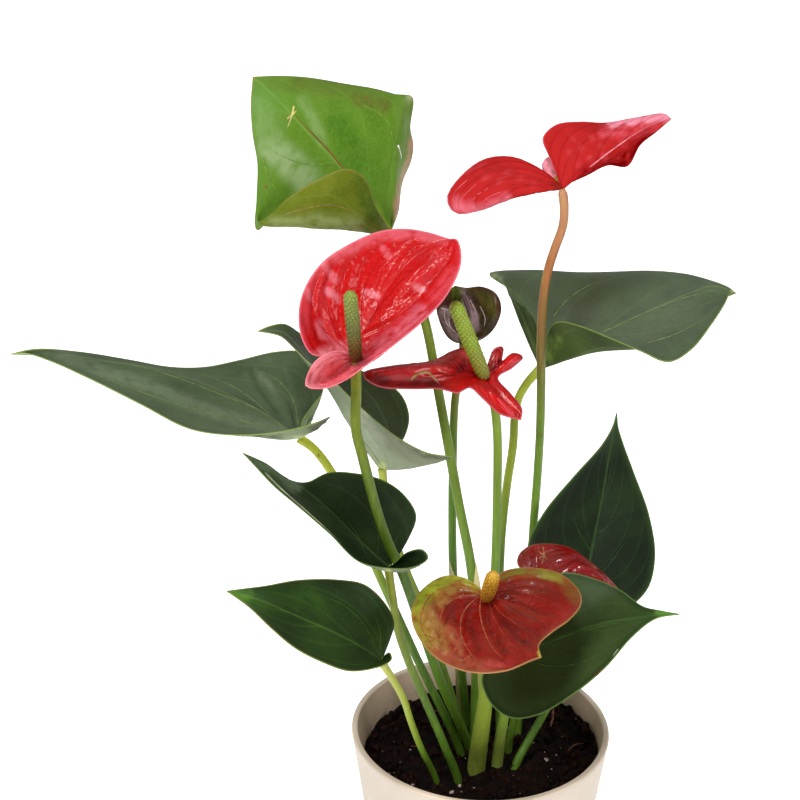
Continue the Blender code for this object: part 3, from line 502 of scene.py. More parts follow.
BLADE_LOOKS = {
    "leaf_1": dict(
        DARK_LEAF, upper=(86, 122, 34), under=(92, 104, 20), vein=(124, 154, 72), line=(132, 116, 60),
        tip=(92, 134, 54), edge=(84, 120, 40), veins=(-0.55, -0.28, 0.0, 0.28, 0.55), vein_share=0.1,
        net=0.14, quilt=0.45, wave=0.7, gloss=0.36, shine=0.04),
    "leaf_2": dict(
        GREY_SHEEN_LEAF, veins=(-0.5, -0.22, 0.08), vein_share=0.08, quilt=0.34, wave=0.6, gloss=0.38),
    "leaf_3": dict(
        GREY_SHEEN_LEAF, upper=(54, 68, 42), under=(156, 166, 138), vein=(120, 136, 100),
        veins=(-0.5, -0.15, 0.2)),
    "leaf_4": dict(
        GREY_SHEEN_LEAF, upper=(76, 90, 66), under=(60, 76, 32), veins=(-0.45, -0.05, 0.4), vein_share=0.1,
        line=(124, 146, 68)),
    "leaf_5": dict(
        DARK_LEAF, upper=(25, 38, 17), under=(134, 144, 116), vein=(76, 104, 50), vein_share=0.08),
    "leaf_6": dict(
        DARK_LEAF, upper=(34, 52, 23), vein=(96, 136, 50), vein_share=0.08, tip=(62, 104, 34),
        line=(134, 138, 62)),
    "leaf_7": dict(
        DARK_LEAF, upper=(52, 68, 35), shine=0.1, vein=(76, 112, 48), vein_share=0.08, tip=(58, 88, 40)),
    "leaf_8": dict(
        DARK_LEAF, shine=0.08, upper=(16, 26, 11), vein=(64, 94, 44), vein_share=0.08, tip=(44, 60, 36),
        veins=(-0.5, -0.25, 0.02, 0.3)),
    "flower_1": dict(
        RED_SPATHE, upper=(190, 6, 8), vein=(168, 6, 10), vein_share=0.25),
    "flower_2": dict(
        RED_SPATHE, quilt=0.9, upper=(190, 12, 16), under=(180, 38, 38), gloss=0.26, vein_share=0.3,
        under_shine=0.0, pucker=0.7),
    "flower_3": dict(
        RED_SPATHE, upper=(200, 8, 10), under=(120, 12, 14), quilt=0.5, cells=14, edge=(150, 8, 12),
        edge_mm=3, gloss=0.14, shine=0.28, coat=0.25, vein_share=0.3, line=(214, 96, 106),
        tip=(176, 10, 14), pucker=0.5),
    "flower_4": dict(
        RED_SPATHE, upper=(132, 12, 6), under=(150, 90, 50), vein=(190, 100, 72), vein_share=0.0,
        edge=(132, 40, 22), tip=(140, 16, 12), line=(168, 132, 74), quilt=1.5, gloss=0.3, shine=0.2,
        coat=0.12, midrib=0.0, pucker=0.7, veins=(-0.85, -0.62, -0.4, -0.2, 0.0, 0.2, 0.42)),
    "flower_5": dict(
        RED_SPATHE, upper=(128, 6, 10), under=(130, 30, 25), vein=(96, 4, 8), edge=(126, 14, 16), edge_mm=2,
        tip=(140, 14, 20), line=(150, 110, 60), quilt=0.3, cells=12, gloss=0.13, shine=0.45, coat=0.5,
        vein_share=0.3, pucker=0.3),
    "bud": dict(
        RED_SPATHE, upper=(64, 62, 16), under=(72, 66, 34), vein=(96, 90, 40), vein_share=0.15,
        edge=(66, 34, 22), edge_mm=3, tip=(84, 88, 34), line=(64, 26, 18), quilt=0.35, gloss=0.24,
        shine=0.16, pucker=0.5),
}

# Raised blisters on flower_4 with pale tops, partly their own colour and partly painted highlight, and
# pale spots on the underside of flower_2, painted highlights on its swellings, in pixels.
BLISTERS = [(437, 646), (445, 652), (461, 653), (460, 661), (434, 635), (428, 625), (422, 617), (433, 615),
            (452, 638)]
SOFT_GLINTS = [(572, 140), (581, 149), (591, 139), (601, 147), (612, 137), (604, 157), (590, 159),
              (578, 165), (569, 153), (622, 143), (470, 171), (482, 166), (495, 170), (508, 173),
              (520, 179), (500, 182), (486, 178), (533, 185)]

# Veins of two spathes that are sunk into the surface and laid on it as lines, in pixels.
FLOWER_1_VEINS = [
    [(350, 350), (340, 335), (328, 308), (326, 288), (333, 266)],
    [(349, 352), (335, 340), (315, 318), (312, 296), (320, 272)],
    [(364, 334), (392, 320), (420, 298), (446, 262)],
]
FLOWER_4_VEINS = [
    [(480, 596), (460, 597), (446, 605), (440, 620), (441, 637), (450, 655), (462, 669)],
    [(480, 596), (467, 607), (461, 620), (462, 637), (472, 655), (485, 667)],
    [(481, 597), (480, 612), (484, 630), (492, 647), (507, 662)],
]

# Soft brush strokes on the blades' upper faces: the colour, the strength, the radius in pixels and the
# path. Most are the blades' own colours; the painted highlights, sheen, light and shade are marked.
PAINT = {
    "leaf_1": [
        # Painted sheen: a pale grey-green patch where the blade catches the light.
        ((150, 168, 124), 0.65, 15, (272, 150), (294, 166), (314, 190)),
        ((90, 112, 38), 0.7, 9, (262, 82), (300, 85), (340, 91)),
        ((70, 110, 24), 0.7, 12, (336, 108), (345, 140), (352, 165)),
        ((74, 110, 26), 0.6, 9, (372, 112), (380, 140), (384, 180)),
        # Painted sheen: a paler grey-green patch and a light streak on the blade's left.
        ((118, 146, 86), 0.6, 14, (262, 110), (270, 135)),
        ((132, 158, 100), 0.5, 6, (302, 100), (312, 118), (322, 140)),
        ((66, 108, 24), 0.6, 14, (340, 126), (355, 150), (366, 176)),
        ((84, 104, 38), 0.7, 10, (300, 82), (340, 88), (385, 100)),
        ((92, 84, 36), 0.6, 7, (356, 99), (384, 108)),
        ((176, 180, 140), 0.7, 4, (410, 97), (406, 103)),
        ((98, 130, 50), 0.9, 9, (404, 106), (404, 132)),
        ((92, 128, 44), 0.9, 7, (401, 140), (398, 180), (393, 215)),
        ((146, 180, 52), 0.8, 4, (374, 208), (389, 230)),
        ((168, 128, 100), 1.0, 4.5, (414, 134), (409, 160), (401, 184), (397, 206), (397, 228)),
    ],
    "leaf_2": [
        ((102, 116, 90), 0.7, 7, (280, 433), (215, 413), (140, 384), (60, 356)),
        ((58, 72, 48), 0.6, 10, (300, 400), (296, 372)),
        ((112, 124, 98), 0.6, 4, (262, 376), (276, 394)),
    ],
    "leaf_4": [
        ((88, 100, 76), 0.6, 14, (600, 350), (640, 330), (690, 310)),
        ((146, 158, 118), 0.7, 3, (492, 275), (500, 279)),
        ((190, 200, 150), 0.9, 3, (734, 291)),
    ],
    "leaf_5": [
        # Painted sheen near the tip.
        ((84, 96, 76), 0.75, 6, (250, 458), (275, 472), (296, 488)),
        ((44, 60, 34), 0.6, 8, (390, 490), (408, 520)),
        # Painted sheen: the lobe lightened.
        ((48, 66, 40), 0.6, 7, (410, 556), (423, 553)),
    ],
    "leaf_6": [
        ((88, 132, 42), 0.85, 7, (227, 591), (246, 596)),
        ((48, 76, 28), 0.5, 12, (270, 598), (310, 602)),
    ],
    "leaf_7": [
        ((98, 146, 56), 0.9, 5, (660, 614), (676, 613)),
    ],
    "flower_1": [
        # Pink margin bands: partly the spathe's own pink, partly painted sheen where it curves away.
        ((216, 72, 82), 0.5, 7, (305, 330), (304, 300), (318, 272)),
        ((220, 98, 110), 0.7, 7.5, (334, 256), (352, 246), (380, 234), (412, 231), (442, 238)),
        ((224, 104, 120), 0.85, 11, (370, 358), (395, 337), (420, 315)),
        ((216, 74, 86), 0.65, 8, (436, 300), (453, 275)),
        # The front lobe: its own pink rim and red centre, painted paler still as painted light against its
        # shade.
        ((255, 166, 176), 0.95, 14, (312, 380), (326, 363), (346, 357)),
        ((240, 124, 136), 0.9, 8, (318, 386), (340, 380), (362, 368)),
        ((248, 96, 104), 0.6, 5, (326, 370), (340, 366)),
        ((222, 84, 92), 0.2, 8, (330, 330), (322, 300), (336, 280)),
        ((220, 70, 80), 0.3, 9, (424, 282), (440, 262)),
        # Painted highlight.
        ((224, 110, 122), 0.6, 4, (326, 336), (336, 344), (346, 351)),
        ((158, 4, 8), 0.4, 9, (414, 252), (436, 262), (428, 280)),
        # Painted light on the shaded lobe.
        ((252, 112, 120), 0.75, 5.5, (328, 378), (338, 373), (350, 368)),
        # Painted highlights: pink glints on the puckers, these seven strokes.
        ((232, 140, 154), 0.5, 4, (324, 264), (334, 280)),
        ((236, 150, 164), 0.55, 4, (328, 291), (338, 300)),
        ((232, 130, 144), 0.5, 3.5, (306, 290), (310, 300)),
        ((238, 160, 172), 0.55, 3.5, (366, 292), (377, 296)),
        ((232, 120, 134), 0.45, 3.5, (383, 248), (389, 257)),
        ((236, 150, 162), 0.5, 3.5, (415, 287), (424, 290)),
        ((230, 130, 144), 0.5, 4, (318, 322), (322, 336)),
        ((150, 4, 8), 0.5, 5, (352, 350), (356, 362), (364, 358)),
    ],
    "flower_2": [
        # Dark red where the blade folds: partly its own deep red, partly painted shade of the fold.
        ((150, 8, 12), 0.7, 8, (600, 172), (622, 160)),
    ],
    "flower_3": [
        ((112, 8, 10), 0.9, 7, (376, 380), (402, 382), (436, 385)),
        # Painted highlight along the wing.
        ((220, 90, 100), 0.6, 3.5, (368, 372), (400, 370), (432, 363)),
        ((90, 6, 8), 0.8, 4, (418, 381), (430, 381)),
        ((120, 8, 10), 0.6, 4, (480, 384), (492, 392)),
        # Painted light: the back lobe, which faces away from the light, painted brighter.
        ((255, 92, 86), 0.92, 7, (440, 362), (450, 357), (464, 355)),
        # Painted shade in the sunk crease.
        ((150, 6, 8), 0.7, 3.5, (461, 369), (465, 362)),
        ((84, 10, 10), 0.8, 5, (366, 376), (384, 380)),
        ((96, 4, 6), 0.8, 6, (492, 368), (498, 352)),
        # Pinkish petal: partly its own colour, partly painted highlight.
        ((200, 70, 84), 0.4, 3.5, (511, 366), (521, 358)),
        # Painted shade: a strongly lit patch darkened.
        ((158, 6, 8), 0.6, 6, (492, 388), (505, 401)),
        ((220, 96, 104), 0.25, 3.5, (503, 402), (514, 418)),
    ],
    "flower_4": [
        ((160, 176, 44), 0.95, 11, (474, 580), (446, 578), (426, 590), (416, 608)),
        ((150, 144, 44), 0.9, 8, (416, 618), (421, 634), (430, 646)),
        ((160, 128, 60), 0.65, 8, (428, 610), (434, 630), (442, 648)),
        ((172, 92, 62), 0.55, 8, (436, 652), (462, 664), (496, 668)),
        ((106, 104, 28), 0.9, 8, (502, 573), (530, 569), (556, 574)),
        ((130, 130, 40), 0.8, 4, (545, 576), (560, 580)),
        ((116, 84, 30), 0.7, 7, (566, 584), (576, 598)),
        ((170, 128, 66), 0.5, 8, (430, 612), (440, 632)),
        ((168, 130, 58), 0.75, 7, (452, 590), (440, 601)),
        ((172, 96, 64), 0.6, 6, (450, 630), (458, 644)),
        ((96, 28, 14), 0.75, 9, (508, 588), (552, 590)),
        ((122, 2, 2), 0.85, 10, (478, 612), (478, 640)),
        ((110, 4, 2), 0.85, 14, (508, 628), (528, 640)),
        ((104, 34, 16), 0.6, 7, (512, 612), (532, 616)),
        ((96, 30, 18), 0.6, 6, (452, 606), (450, 624)),
        # Painted shade in the sunk folds.
        ((88, 4, 4), 0.8, 4, (489, 602), (504, 622), (528, 646)),
        ((90, 4, 4), 0.7, 4, (468, 604), (468, 626), (478, 650)),
        ((92, 8, 6), 0.7, 4, (498, 596), (520, 602), (545, 612)),
        ((92, 8, 6), 0.7, 4, (484, 604), (490, 630), (506, 652)),
        ((158, 30, 30), 0.6, 6, (566, 612), (552, 632)),
        ((180, 52, 58), 0.5, 5, (486, 666), (512, 664)),
        ((196, 196, 70), 0.95, 2.0, (539, 653), (541, 657)),
        # Pale blister tops: partly their own yellowish colour, partly painted highlight.
        *[((176, 140, 84), 0.5, 3, spot) for spot in BLISTERS],
    ],
    "flower_5": [
        ((92, 14, 10), 0.6, 7, (524, 556), (532, 572)),
        ((100, 14, 12), 0.5, 7, (541, 561), (557, 557)),
    ],
    "bud": [
        ((88, 84, 30), 0.85, 8, (476, 298), (486, 306), (488, 316)),
        ((66, 32, 16), 0.85, 4, (500, 300), (502, 318), (492, 334)),
        ((56, 24, 18), 0.9, 4, (472, 294), (482, 316), (480, 334)),
        ((40, 28, 8), 0.8, 6, (488, 316), (491, 328)),
        ((70, 30, 26), 0.95, 7, (444, 300), (450, 306)),
        # Painted sheen: the pale silvery band down the curled bud.
        ((150, 122, 128), 0.9, 7, (446, 314), (450, 324), (458, 334)),
        ((176, 150, 156), 1.0, 4.5, (463, 292), (469, 304), (474, 316), (477, 328)),
        ((72, 28, 32), 0.8, 3.5, (451, 320), (455, 330)),
        ((116, 136, 54), 0.95, 5, (456, 288), (458, 300)),
    ],
}

# The same on their under faces.
PAINT_UNDER = {
    "leaf_1": [
        ((138, 150, 92), 0.8, 10, (275, 226), (320, 222), (355, 226)),
        # Painted shade: the flap's right side darkened.
        ((60, 80, 10), 0.85, 11, (362, 184), (374, 214)),
        ((106, 112, 30), 0.6, 9, (300, 206), (330, 184)),
    ],
    "leaf_2": [
        ((64, 80, 52), 0.98, 8, (225, 430), (255, 438), (276, 441)),
        ((182, 194, 140), 0.8, 7, (299, 441)),
        ((54, 66, 42), 0.95, 5, (313, 430), (322, 423), (333, 416)),
    ],
    "leaf_3": [
        ((190, 198, 176), 0.6, 8, (362, 412), (380, 440)),
        ((196, 210, 130), 0.7, 5, (382, 466)),
        ((96, 104, 82), 0.8, 4.5, (450, 457), (425, 453), (404, 441)),
    ],
    "leaf_4": [
        ((100, 126, 46), 0.7, 7, (548, 356), (556, 340)),
        ((54, 66, 40), 0.7, 8, (590, 338), (620, 344)),
        ((40, 48, 30), 0.7, 8, (522, 312), (532, 335)),
    ],
    "leaf_5": [
        ((176, 180, 160), 0.8, 4, (278, 486), (310, 512), (340, 538)),
        ((196, 206, 130), 0.8, 4, (388, 571)),
    ],
    "flower_2": [
        # Painted sheen along the left lobe's lower margin.
        ((230, 124, 140), 0.65, 6.5, (458, 206), (480, 212), (506, 200)),
        ((232, 96, 110), 0.6, 8, (606, 132), (630, 130), (650, 126)),
        ((238, 150, 168), 0.9, 5.5, (612, 124), (640, 120), (668, 116)),
        # Dark red under the fold: partly its own deep red, partly painted shade of the fold.
        ((116, 2, 4), 1.0, 13, (590, 178), (612, 169), (632, 158), (648, 142)),
        ((110, 44, 32), 0.7, 4, (560, 190), (555, 184)),
        # Painted highlights on the swellings.
        *[((214, 92, 98), 0.28, 3.6, spot) for spot in SOFT_GLINTS],
    ],
}

# Folds of the blades: the height in millimetres (below 0 it is sunk), the radius in pixels and the path.
RIDGES = {
    "leaf_2": [
        (0.8, 3.5, (262, 374), (270, 388), (284, 404), (291, 424)),
        (-0.6, 3, (254, 372), (262, 390), (280, 412)),
        (0.6, 3, (248, 374), (254, 392), (272, 412)),
        (-0.5, 3, (285, 376), (291, 396), (296, 424)),
        (0.5, 5, (286, 432), (225, 412), (150, 386)),
    ],
    "flower_1": [
        (-0.6, 2.5, *FLOWER_1_VEINS[0]),
        (-0.5, 2.5, *FLOWER_1_VEINS[1]),
        (-0.5, 2.5, *FLOWER_1_VEINS[2]),
        (0.6, 5, (372, 300), (384, 276), (402, 258)),
        (0.6, 5, (400, 300), (424, 274), (442, 252)),
    ],
    "flower_3": [
        (0.9, 4, (366, 374), (400, 372), (440, 364)),
        (-0.8, 4, (380, 381), (430, 382), (470, 380)),
        (1.8, 5, (446, 366), (456, 358), (464, 353)),
        (-1.4, 3, (456, 372), (470, 362)),
        (0.8, 4, (492, 392), (512, 412)),
        (-0.5, 2.5, (500, 396), (519, 415)),
        (0.7, 3, (492, 366), (498, 352)),
        (0.7, 3, (505, 366), (519, 357)),
        (-0.7, 3, (496, 370), (508, 352)),
    ],
    "flower_4": [
        (-0.6, 2.5, *FLOWER_4_VEINS[0][:-1]),
        (-0.6, 2.5, *FLOWER_4_VEINS[1][:-1]),
        (-0.5, 2.5, *FLOWER_4_VEINS[2]),
        (-0.5, 2.5, (496, 591), (512, 589), (532, 595), (550, 602)),
        (1.3, 5, (452, 608), (450, 630)),
        (1.2, 5, (470, 614), (471, 640)),
        (0.8, 5, (430, 608), (430, 630)),
        (0.7, 5, (510, 600), (530, 612)),
        (0.7, 5, (512, 580), (545, 584)),
        (-1.3, 4, (490, 602), (506, 624), (522, 640)),
        (1.3, 5, (498, 600), (520, 622)),
        (-1.2, 4, (484, 602), (488, 624), (500, 648)),
        (-1.2, 4, (496, 596), (520, 602), (546, 612)),
        (1.2, 5, (496, 606), (516, 630)),
        *[(0.9, 3, spot) for spot in BLISTERS],
    ],
    "flower_5": [
        (1.3, 4.5, (563, 573), (577, 565), (592, 573), (604, 585)),
        (-1.1, 4, (556, 566), (575, 559), (596, 568)),
        (0.8, 3, (576, 577), (594, 588)),
        (0.8, 3, (528, 552), (529, 564)),
        (-0.7, 3, (536, 550), (537, 566)),
    ],
    "bud": [
        (0.7, 3, (470, 292), (474, 310), (469, 332)),
        (-0.6, 3, (464, 294), (466, 312), (462, 332)),
        (-0.5, 3, (480, 292), (483, 312), (476, 334)),
    ],
}

# Veins, scars and edges that stand out as thin lines, and a few painted highlights laid as lines: the
# blade, the radius in metres, the colour, and each line's path in pixels.
LINES = {
    "leaf_1_midrib": ("leaf_1", 0.00042, (128, 88, 46), [
        [(345, 171), (338, 162), (330, 152), (310, 131), (290, 111)]]),
    "leaf_1_veins": ("leaf_1", 0.00028, (112, 146, 58), [
        [(363, 105), (385, 118), (392, 135), (396, 190)], [(336, 165), (300, 163), (266, 148)],
        [(263, 160), (270, 180), (284, 202)], [(288, 109), (270, 92), (256, 79)]]),
    "leaf_1_scar": ("leaf_1", 0.00052, (204, 194, 118), [
        [(294, 106), (292, 115), (287, 129)], [(287, 119), (292, 115), (297, 110)]]),
    "leaf_1_flap_vein": ("leaf_1", 0.00032, (144, 126, 70), [
        [(285, 214), (330, 205), (362, 216), (377, 228)]]),
    "leaf_1_tear": ("leaf_1", 0.00055, (246, 244, 236), [[(398, 145), (400, 151), (402, 160)]]),
    "leaf_2_veins": ("leaf_2", 0.00036, (116, 134, 84), [
        [(298, 438), (262, 412), (225, 396), (150, 369), (90, 359)],
        [(282, 434), (240, 420), (190, 408), (120, 384), (70, 362)],
        [(298, 424), (294, 402), (280, 382), (256, 368)],
        [(280, 426), (256, 402), (224, 382), (192, 372)]]),
    "leaf_3_veins": ("leaf_3", 0.00034, (126, 140, 104), [
        [(382, 466), (372, 452), (352, 425), (331, 392)]]),
    "leaf_4_veins": ("leaf_4", 0.00040, (122, 140, 84), [
        [(603, 332), (640, 315), (680, 299), (728, 287)], [(553, 317), (567, 300), (590, 285), (620, 277)],
        [(647, 343), (673, 335), (697, 323)]]),
    "leaf_4_fold": ("leaf_4", 0.00048, (104, 130, 66), [[(495, 278), (510, 289), (523, 301), (535, 316)]]),
    "leaf_5_rim": ("leaf_5", 0.00080, (160, 168, 132), [
        [(265, 472.6), (281, 488.7), (301, 506.4), (323, 525.8), (345, 546.2)]]),
    "leaf_5_veins": ("leaf_5", 0.00028, (48, 72, 32), [
        [(366, 554), (355, 531), (335, 511)], [(378, 554), (378, 534), (369, 514)],
        [(385, 560), (396, 540), (402, 520)]]),
    "leaf_6_veins": ("leaf_6", 0.00028, (60, 94, 36), [
        [(381, 660), (362, 648), (335, 633), (300, 617), (262, 601)],
        [(379, 656), (365, 626), (345, 606), (318, 594)], [(380, 655), (380, 632), (374, 612)]]),
    "leaf_7_veins": ("leaf_7", 0.00036, (62, 92, 44), [
        [(520, 654), (540, 645), (575, 633), (625, 621), (650, 615)],
        [(520, 660), (560, 666), (592, 658), (618, 640)]]),
    # Painted highlight: a small glint on the margin.
    "leaf_7_glint": ("leaf_7", 0.00045, (140, 150, 128), [[(618, 649), (615, 653), (612, 657)]]),
    "leaf_7_scab": ("leaf_7", 0.00070, (84, 42, 30), [[(596, 675), (599, 671), (603, 667)]]),
    "leaf_1_fleck": ("leaf_1", 0.00080, (150, 112, 52), [[(265, 186), (266, 187), (267, 188)]]),
    "leaf_8_veins": ("leaf_8", 0.00028, (42, 66, 31), [
        [(588, 570), (590, 554), (598, 517), (608, 483), (616, 442)], [(598, 533), (612, 522), (624, 506)],
        [(602, 572), (614, 558), (626, 540)], [(590, 550), (578, 530), (572, 512)]]),
    "flower_1_veins": ("flower_1", 0.00022, (178, 10, 16), [
        *FLOWER_1_VEINS, [(366, 326), (384, 300), (410, 272), (438, 248)],
        [(362, 330), (362, 300), (372, 270), (390, 248)]]),
    "flower_2_fold": ("flower_2", 0.00040, (236, 140, 152), [
        [(590, 167), (612, 150), (640, 131), (664, 119)]]),
    "flower_2_net": ("flower_2", 0.00020, (222, 100, 112), [
        [(467, 180), (455, 192), (451, 203)], [(476, 184), (463, 197), (458, 207)],
        [(488, 188), (476, 196), (467, 208)], [(500, 192), (486, 199), (478, 209)],
        [(512, 195), (500, 201), (488, 207)]]),
    "flower_2_veins": ("flower_2", 0.00020, (168, 26, 32), [
        [(560, 186), (570, 156), (590, 139), (622, 128)], [(552, 186), (520, 174), (488, 172), (466, 184)],
        [(548, 188), (515, 184), (482, 190)], [(566, 184), (590, 160), (620, 142)]]),
    # Painted highlights: pale streaks along the petals' ridges and rims.
    "flower_3_glints": ("flower_3", 0.00030, (216, 84, 92), [
        [(462, 371), (455, 362), (449, 356)], [(465, 369), (461, 360), (457, 353)],
        [(467, 366), (466, 358), (465, 352)], [(493, 352), (498, 348), (502, 352), (501, 362)],
        [(497, 366), (497, 358), (499, 351)], [(506, 366), (512, 360), (520, 356)],
        [(503, 371), (511, 369), (519, 361)], [(372, 372), (396, 368), (424, 364), (440, 360)],
        [(497, 398), (507, 409), (516, 418)]]),
    "flower_3_notch": ("flower_3", 0.00075, (184, 150, 92), [
        [(411, 380), (416, 375), (427, 372), (433, 377), (441, 386)]]),
    # Painted highlights: pale streaks on the glossy bud.
    "bud_glints": ("bud", 0.00030, (206, 188, 190), [
        [(464, 291), (470, 306), (474, 324)], [(461, 298), (466, 310), (470, 324)],
        [(470, 300), (476, 312), (479, 326)], [(444, 309), (446, 322), (456, 334)],
        [(449, 312), (455, 316), (460, 332)], [(480, 306), (485, 318), (484, 328)],
        [(441, 308), (450, 310), (459, 308)], [(449, 318), (450, 326), (458, 334)]]),
    "flower_4_veins": ("flower_4", 0.00036, (172, 98, 66), [
        *FLOWER_4_VEINS,
        [(475, 590), (455, 586), (435, 592), (424, 606), (421, 625), (432, 645), (447, 660), (467, 669),
         (495, 670)],
        [(441, 637), (430, 637), (422, 630)], [(450, 655), (440, 648), (434, 643)],
        [(462, 637), (456, 648), (452, 656)], [(446, 605), (434, 606), (425, 610)],
        [(472, 655), (464, 660), (462, 667)]]),
    "flower_4_streaks": ("flower_4", 0.00034, (162, 54, 42), [
        [(496, 591), (512, 589), (532, 595), (550, 602), (562, 605)],
        [(496, 589), (512, 584), (535, 586), (555, 591), (565, 602)],
        [(497, 594), (517, 597), (535, 610), (545, 620)], [(490, 598), (500, 612), (520, 626), (540, 634)],
        [(488, 598), (494, 618), (508, 640), (524, 654)]]),
    "flower_5_mark": ("flower_5", 0.00026, (170, 130, 84), [
        [(543, 547), (544, 556), (541, 566)], [(538, 551), (543, 554), (549, 550)],
        [(539, 559), (543, 556), (548, 560)]]),
}


def viewing_direction(pixel_x, pixel_y):
    """The way from the camera through a pixel."""
    ahead = np.array([0, math.cos(CAMERA_TILT), -math.sin(CAMERA_TILT)])
    upward = np.array([0, math.sin(CAMERA_TILT), math.cos(CAMERA_TILT)])
    way = ahead + upward * (PICTURE_CENTRE - pixel_y) / FOCAL_PIXELS
    way[0] = (pixel_x - PICTURE_CENTRE) / FOCAL_PIXELS
    return way


def on_ray(pixel_x, pixel_y, depth):
    """The point, in metres, seen at a pixel at this depth in millimetres."""
    way = viewing_direction(pixel_x, pixel_y)
    return CAMERA_PLACE + way * (depth / 1000 - CAMERA_PLACE[1]) / way[1]


def on_level(pixel_x, pixel_y, height):
    """The point, in metres, seen at a pixel at this height."""
    way = viewing_direction(pixel_x, pixel_y)
    return CAMERA_PLACE + way * (height - CAMERA_PLACE[2]) / way[2]


def outline(points):
    """The points, in metres, seen at pixels with depths."""
    return np.array([on_ray(*p) for p in points])


def pixels_of(points):
    """The pixel of the photograph where each point is seen."""
    away = points - CAMERA_PLACE
    ahead = away @ (0, math.cos(CAMERA_TILT), -math.sin(CAMERA_TILT))
    up = away @ (0, math.sin(CAMERA_TILT), math.cos(CAMERA_TILT))
    across, down = FOCAL_PIXELS * away[:, 0] / ahead, -FOCAL_PIXELS * up / ahead
    return np.stack([PICTURE_CENTRE + across, PICTURE_CENTRE + down], -1)


def unit(vectors):
    """The same directions with a length of 1."""
    return vectors / np.maximum(np.linalg.norm(vectors, axis=-1, keepdims=True), TINY)


def walked(points):
    """How far along its curve each point is, in metres. Each row of a grid is a curve of its own."""
    spans = np.linalg.norm(np.diff(points, axis=-2), axis=-1)
    return np.insert(np.cumsum(spans, -1), 0, 0, axis=-1)


def at_share(curve, share, along=None):
    """The points or colours at these shares, 0 to 1, of a curve. Its own are at the shares along, or even."""
    if along is None:
        along = np.linspace(0, 1, len(curve))
    return np.stack([np.interp(share, along, curve[:, k]) for k in range(3)], -1)


def smooth_curve(points):
    """CURVE_POINTS points, evenly spaced, along a smooth curve through the given points."""
    p = np.asarray(points, float)
    ends = np.vstack([2 * p[0] - p[1], p, 2 * p[-1] - p[-2]])
    s = np.linspace(0, 1, CURVE_STEPS, endpoint=False)[:, None]
    pieces = []
    for a, b, c, d in zip(ends[:-3], ends[1:-2], ends[2:-1], ends[3:]):
        before = np.linalg.norm(b - a) ** 0.5
        here = np.linalg.norm(c - b) ** 0.5
        after = np.linalg.norm(d - c) ** 0.5
        leave = here * ((b - a) / before - (c - a) / (before + here) + (c - b) / here)
        arrive = here * ((c - b) / here - (d - b) / (here + after) + (d - c) / after)
        pieces.append((2 * s**3 - 3 * s**2 + 1) * b + (s**3 - 2 * s**2 + s) * leave
                      + (3 * s**2 - 2 * s**3) * c + (s**3 - s**2) * arrive)
    fine = np.vstack([*pieces, p[-1:]])
    along = walked(fine)
    return at_share(fine, np.linspace(0, 1, CURVE_POINTS), along / along[-1])


def angles_round(sides):
    """Evenly spaced angles once round."""
    return np.linspace(0, 2 * math.pi, sides, endpoint=False)


def circle(sides):
    """The cosines and the sines, as columns, of evenly spaced angles once round."""
    angles = angles_round(sides)[:, None]
    return np.cos(angles), np.sin(angles)


def smooth_step(low, high, value):
    """0 at low and below, 1 at high and above, smoothly between."""
    t = np.clip((value - low) / (high - low), 0, 1)
    return t * t * (3 - 2 * t)


def soft_line(size, distance):
    """The height beside a soft ridge or groove at this distance. Its height and its reach are in size."""
    height, reach = size
    return height * (1 - smooth_step(0, reach, distance))


def waves(points, size, seed):
    """Gentle unevenness of -1 to 1, about size metres across."""
    return np.array([noise.noise(Vector(p) / size + Vector((seed, 0, 0))) for p in points])


def linear(colour):
    """A colour of 0 to 255 as the eye sees it, as light."""
    c = np.asarray(colour, float) / 255
    return np.where(c <= 0.04045, c / 12.92, ((c + 0.055) / 1.055) ** 2.4)


def mixed(colours, shade, share):
    """Each point's colour, turned into the shade by its share."""
    share = share[:, None]
    return colours * (1 - share) + linear(shade) * share


def half_grid(blade, side):
    """Points of half a blade, [rib, step], from the midrib out to the margin, and each rib's place along it:
    0 to 1 beyond the lobes, below 0 in the lobe."""
    base = on_ray(*blade["base"])
    spine = smooth_curve([base, *outline(blade["spine"])])
    tip = spine[-1]
    margin = smooth_curve([base, *outline(blade[side]), tip])
    axis = (tip - base) / np.dot(tip - base, tip - base)
    lobe_end = np.max(np.nonzero((margin - base) @ axis < LOBE_SHARE)[0]) / (CURVE_POINTS - 1)
    lobe, body = np.linspace(0, lobe_end, LOBE_RIBS, endpoint=False), np.linspace(lobe_end, 1, BODY_RIBS)
    along = np.append(lobe, body)
    stations = np.append(np.zeros(LOBE_RIBS), np.linspace(0, 1, BODY_RIBS) ** STATION_POWER)
    start = at_share(spine, stations)[:, None]
    end = at_share(margin, along)[:, None]
    if "fold_" + side in blade:
        fold = smooth_curve([base, *outline(blade["fold_" + side]), tip])
        middle = at_share(fold, along)[:, None]
    else:
        sag = blade["sag"][0 if side == "left" else 1]
        lift = unit(np.array(blade["face"])) * sag * np.linalg.norm(end - start, axis=-1, keepdims=True)
        middle = (start + end) / 2 - lift
    u = np.linspace(0, 1, RIB_STEPS + 1)[None, :, None]
    grid = start * (1 - u) * (1 - 2 * u) + middle * 4 * u * (1 - u) + end * u * (2 * u - 1)
    return grid, (along - lobe_end) / (1 - lobe_end)


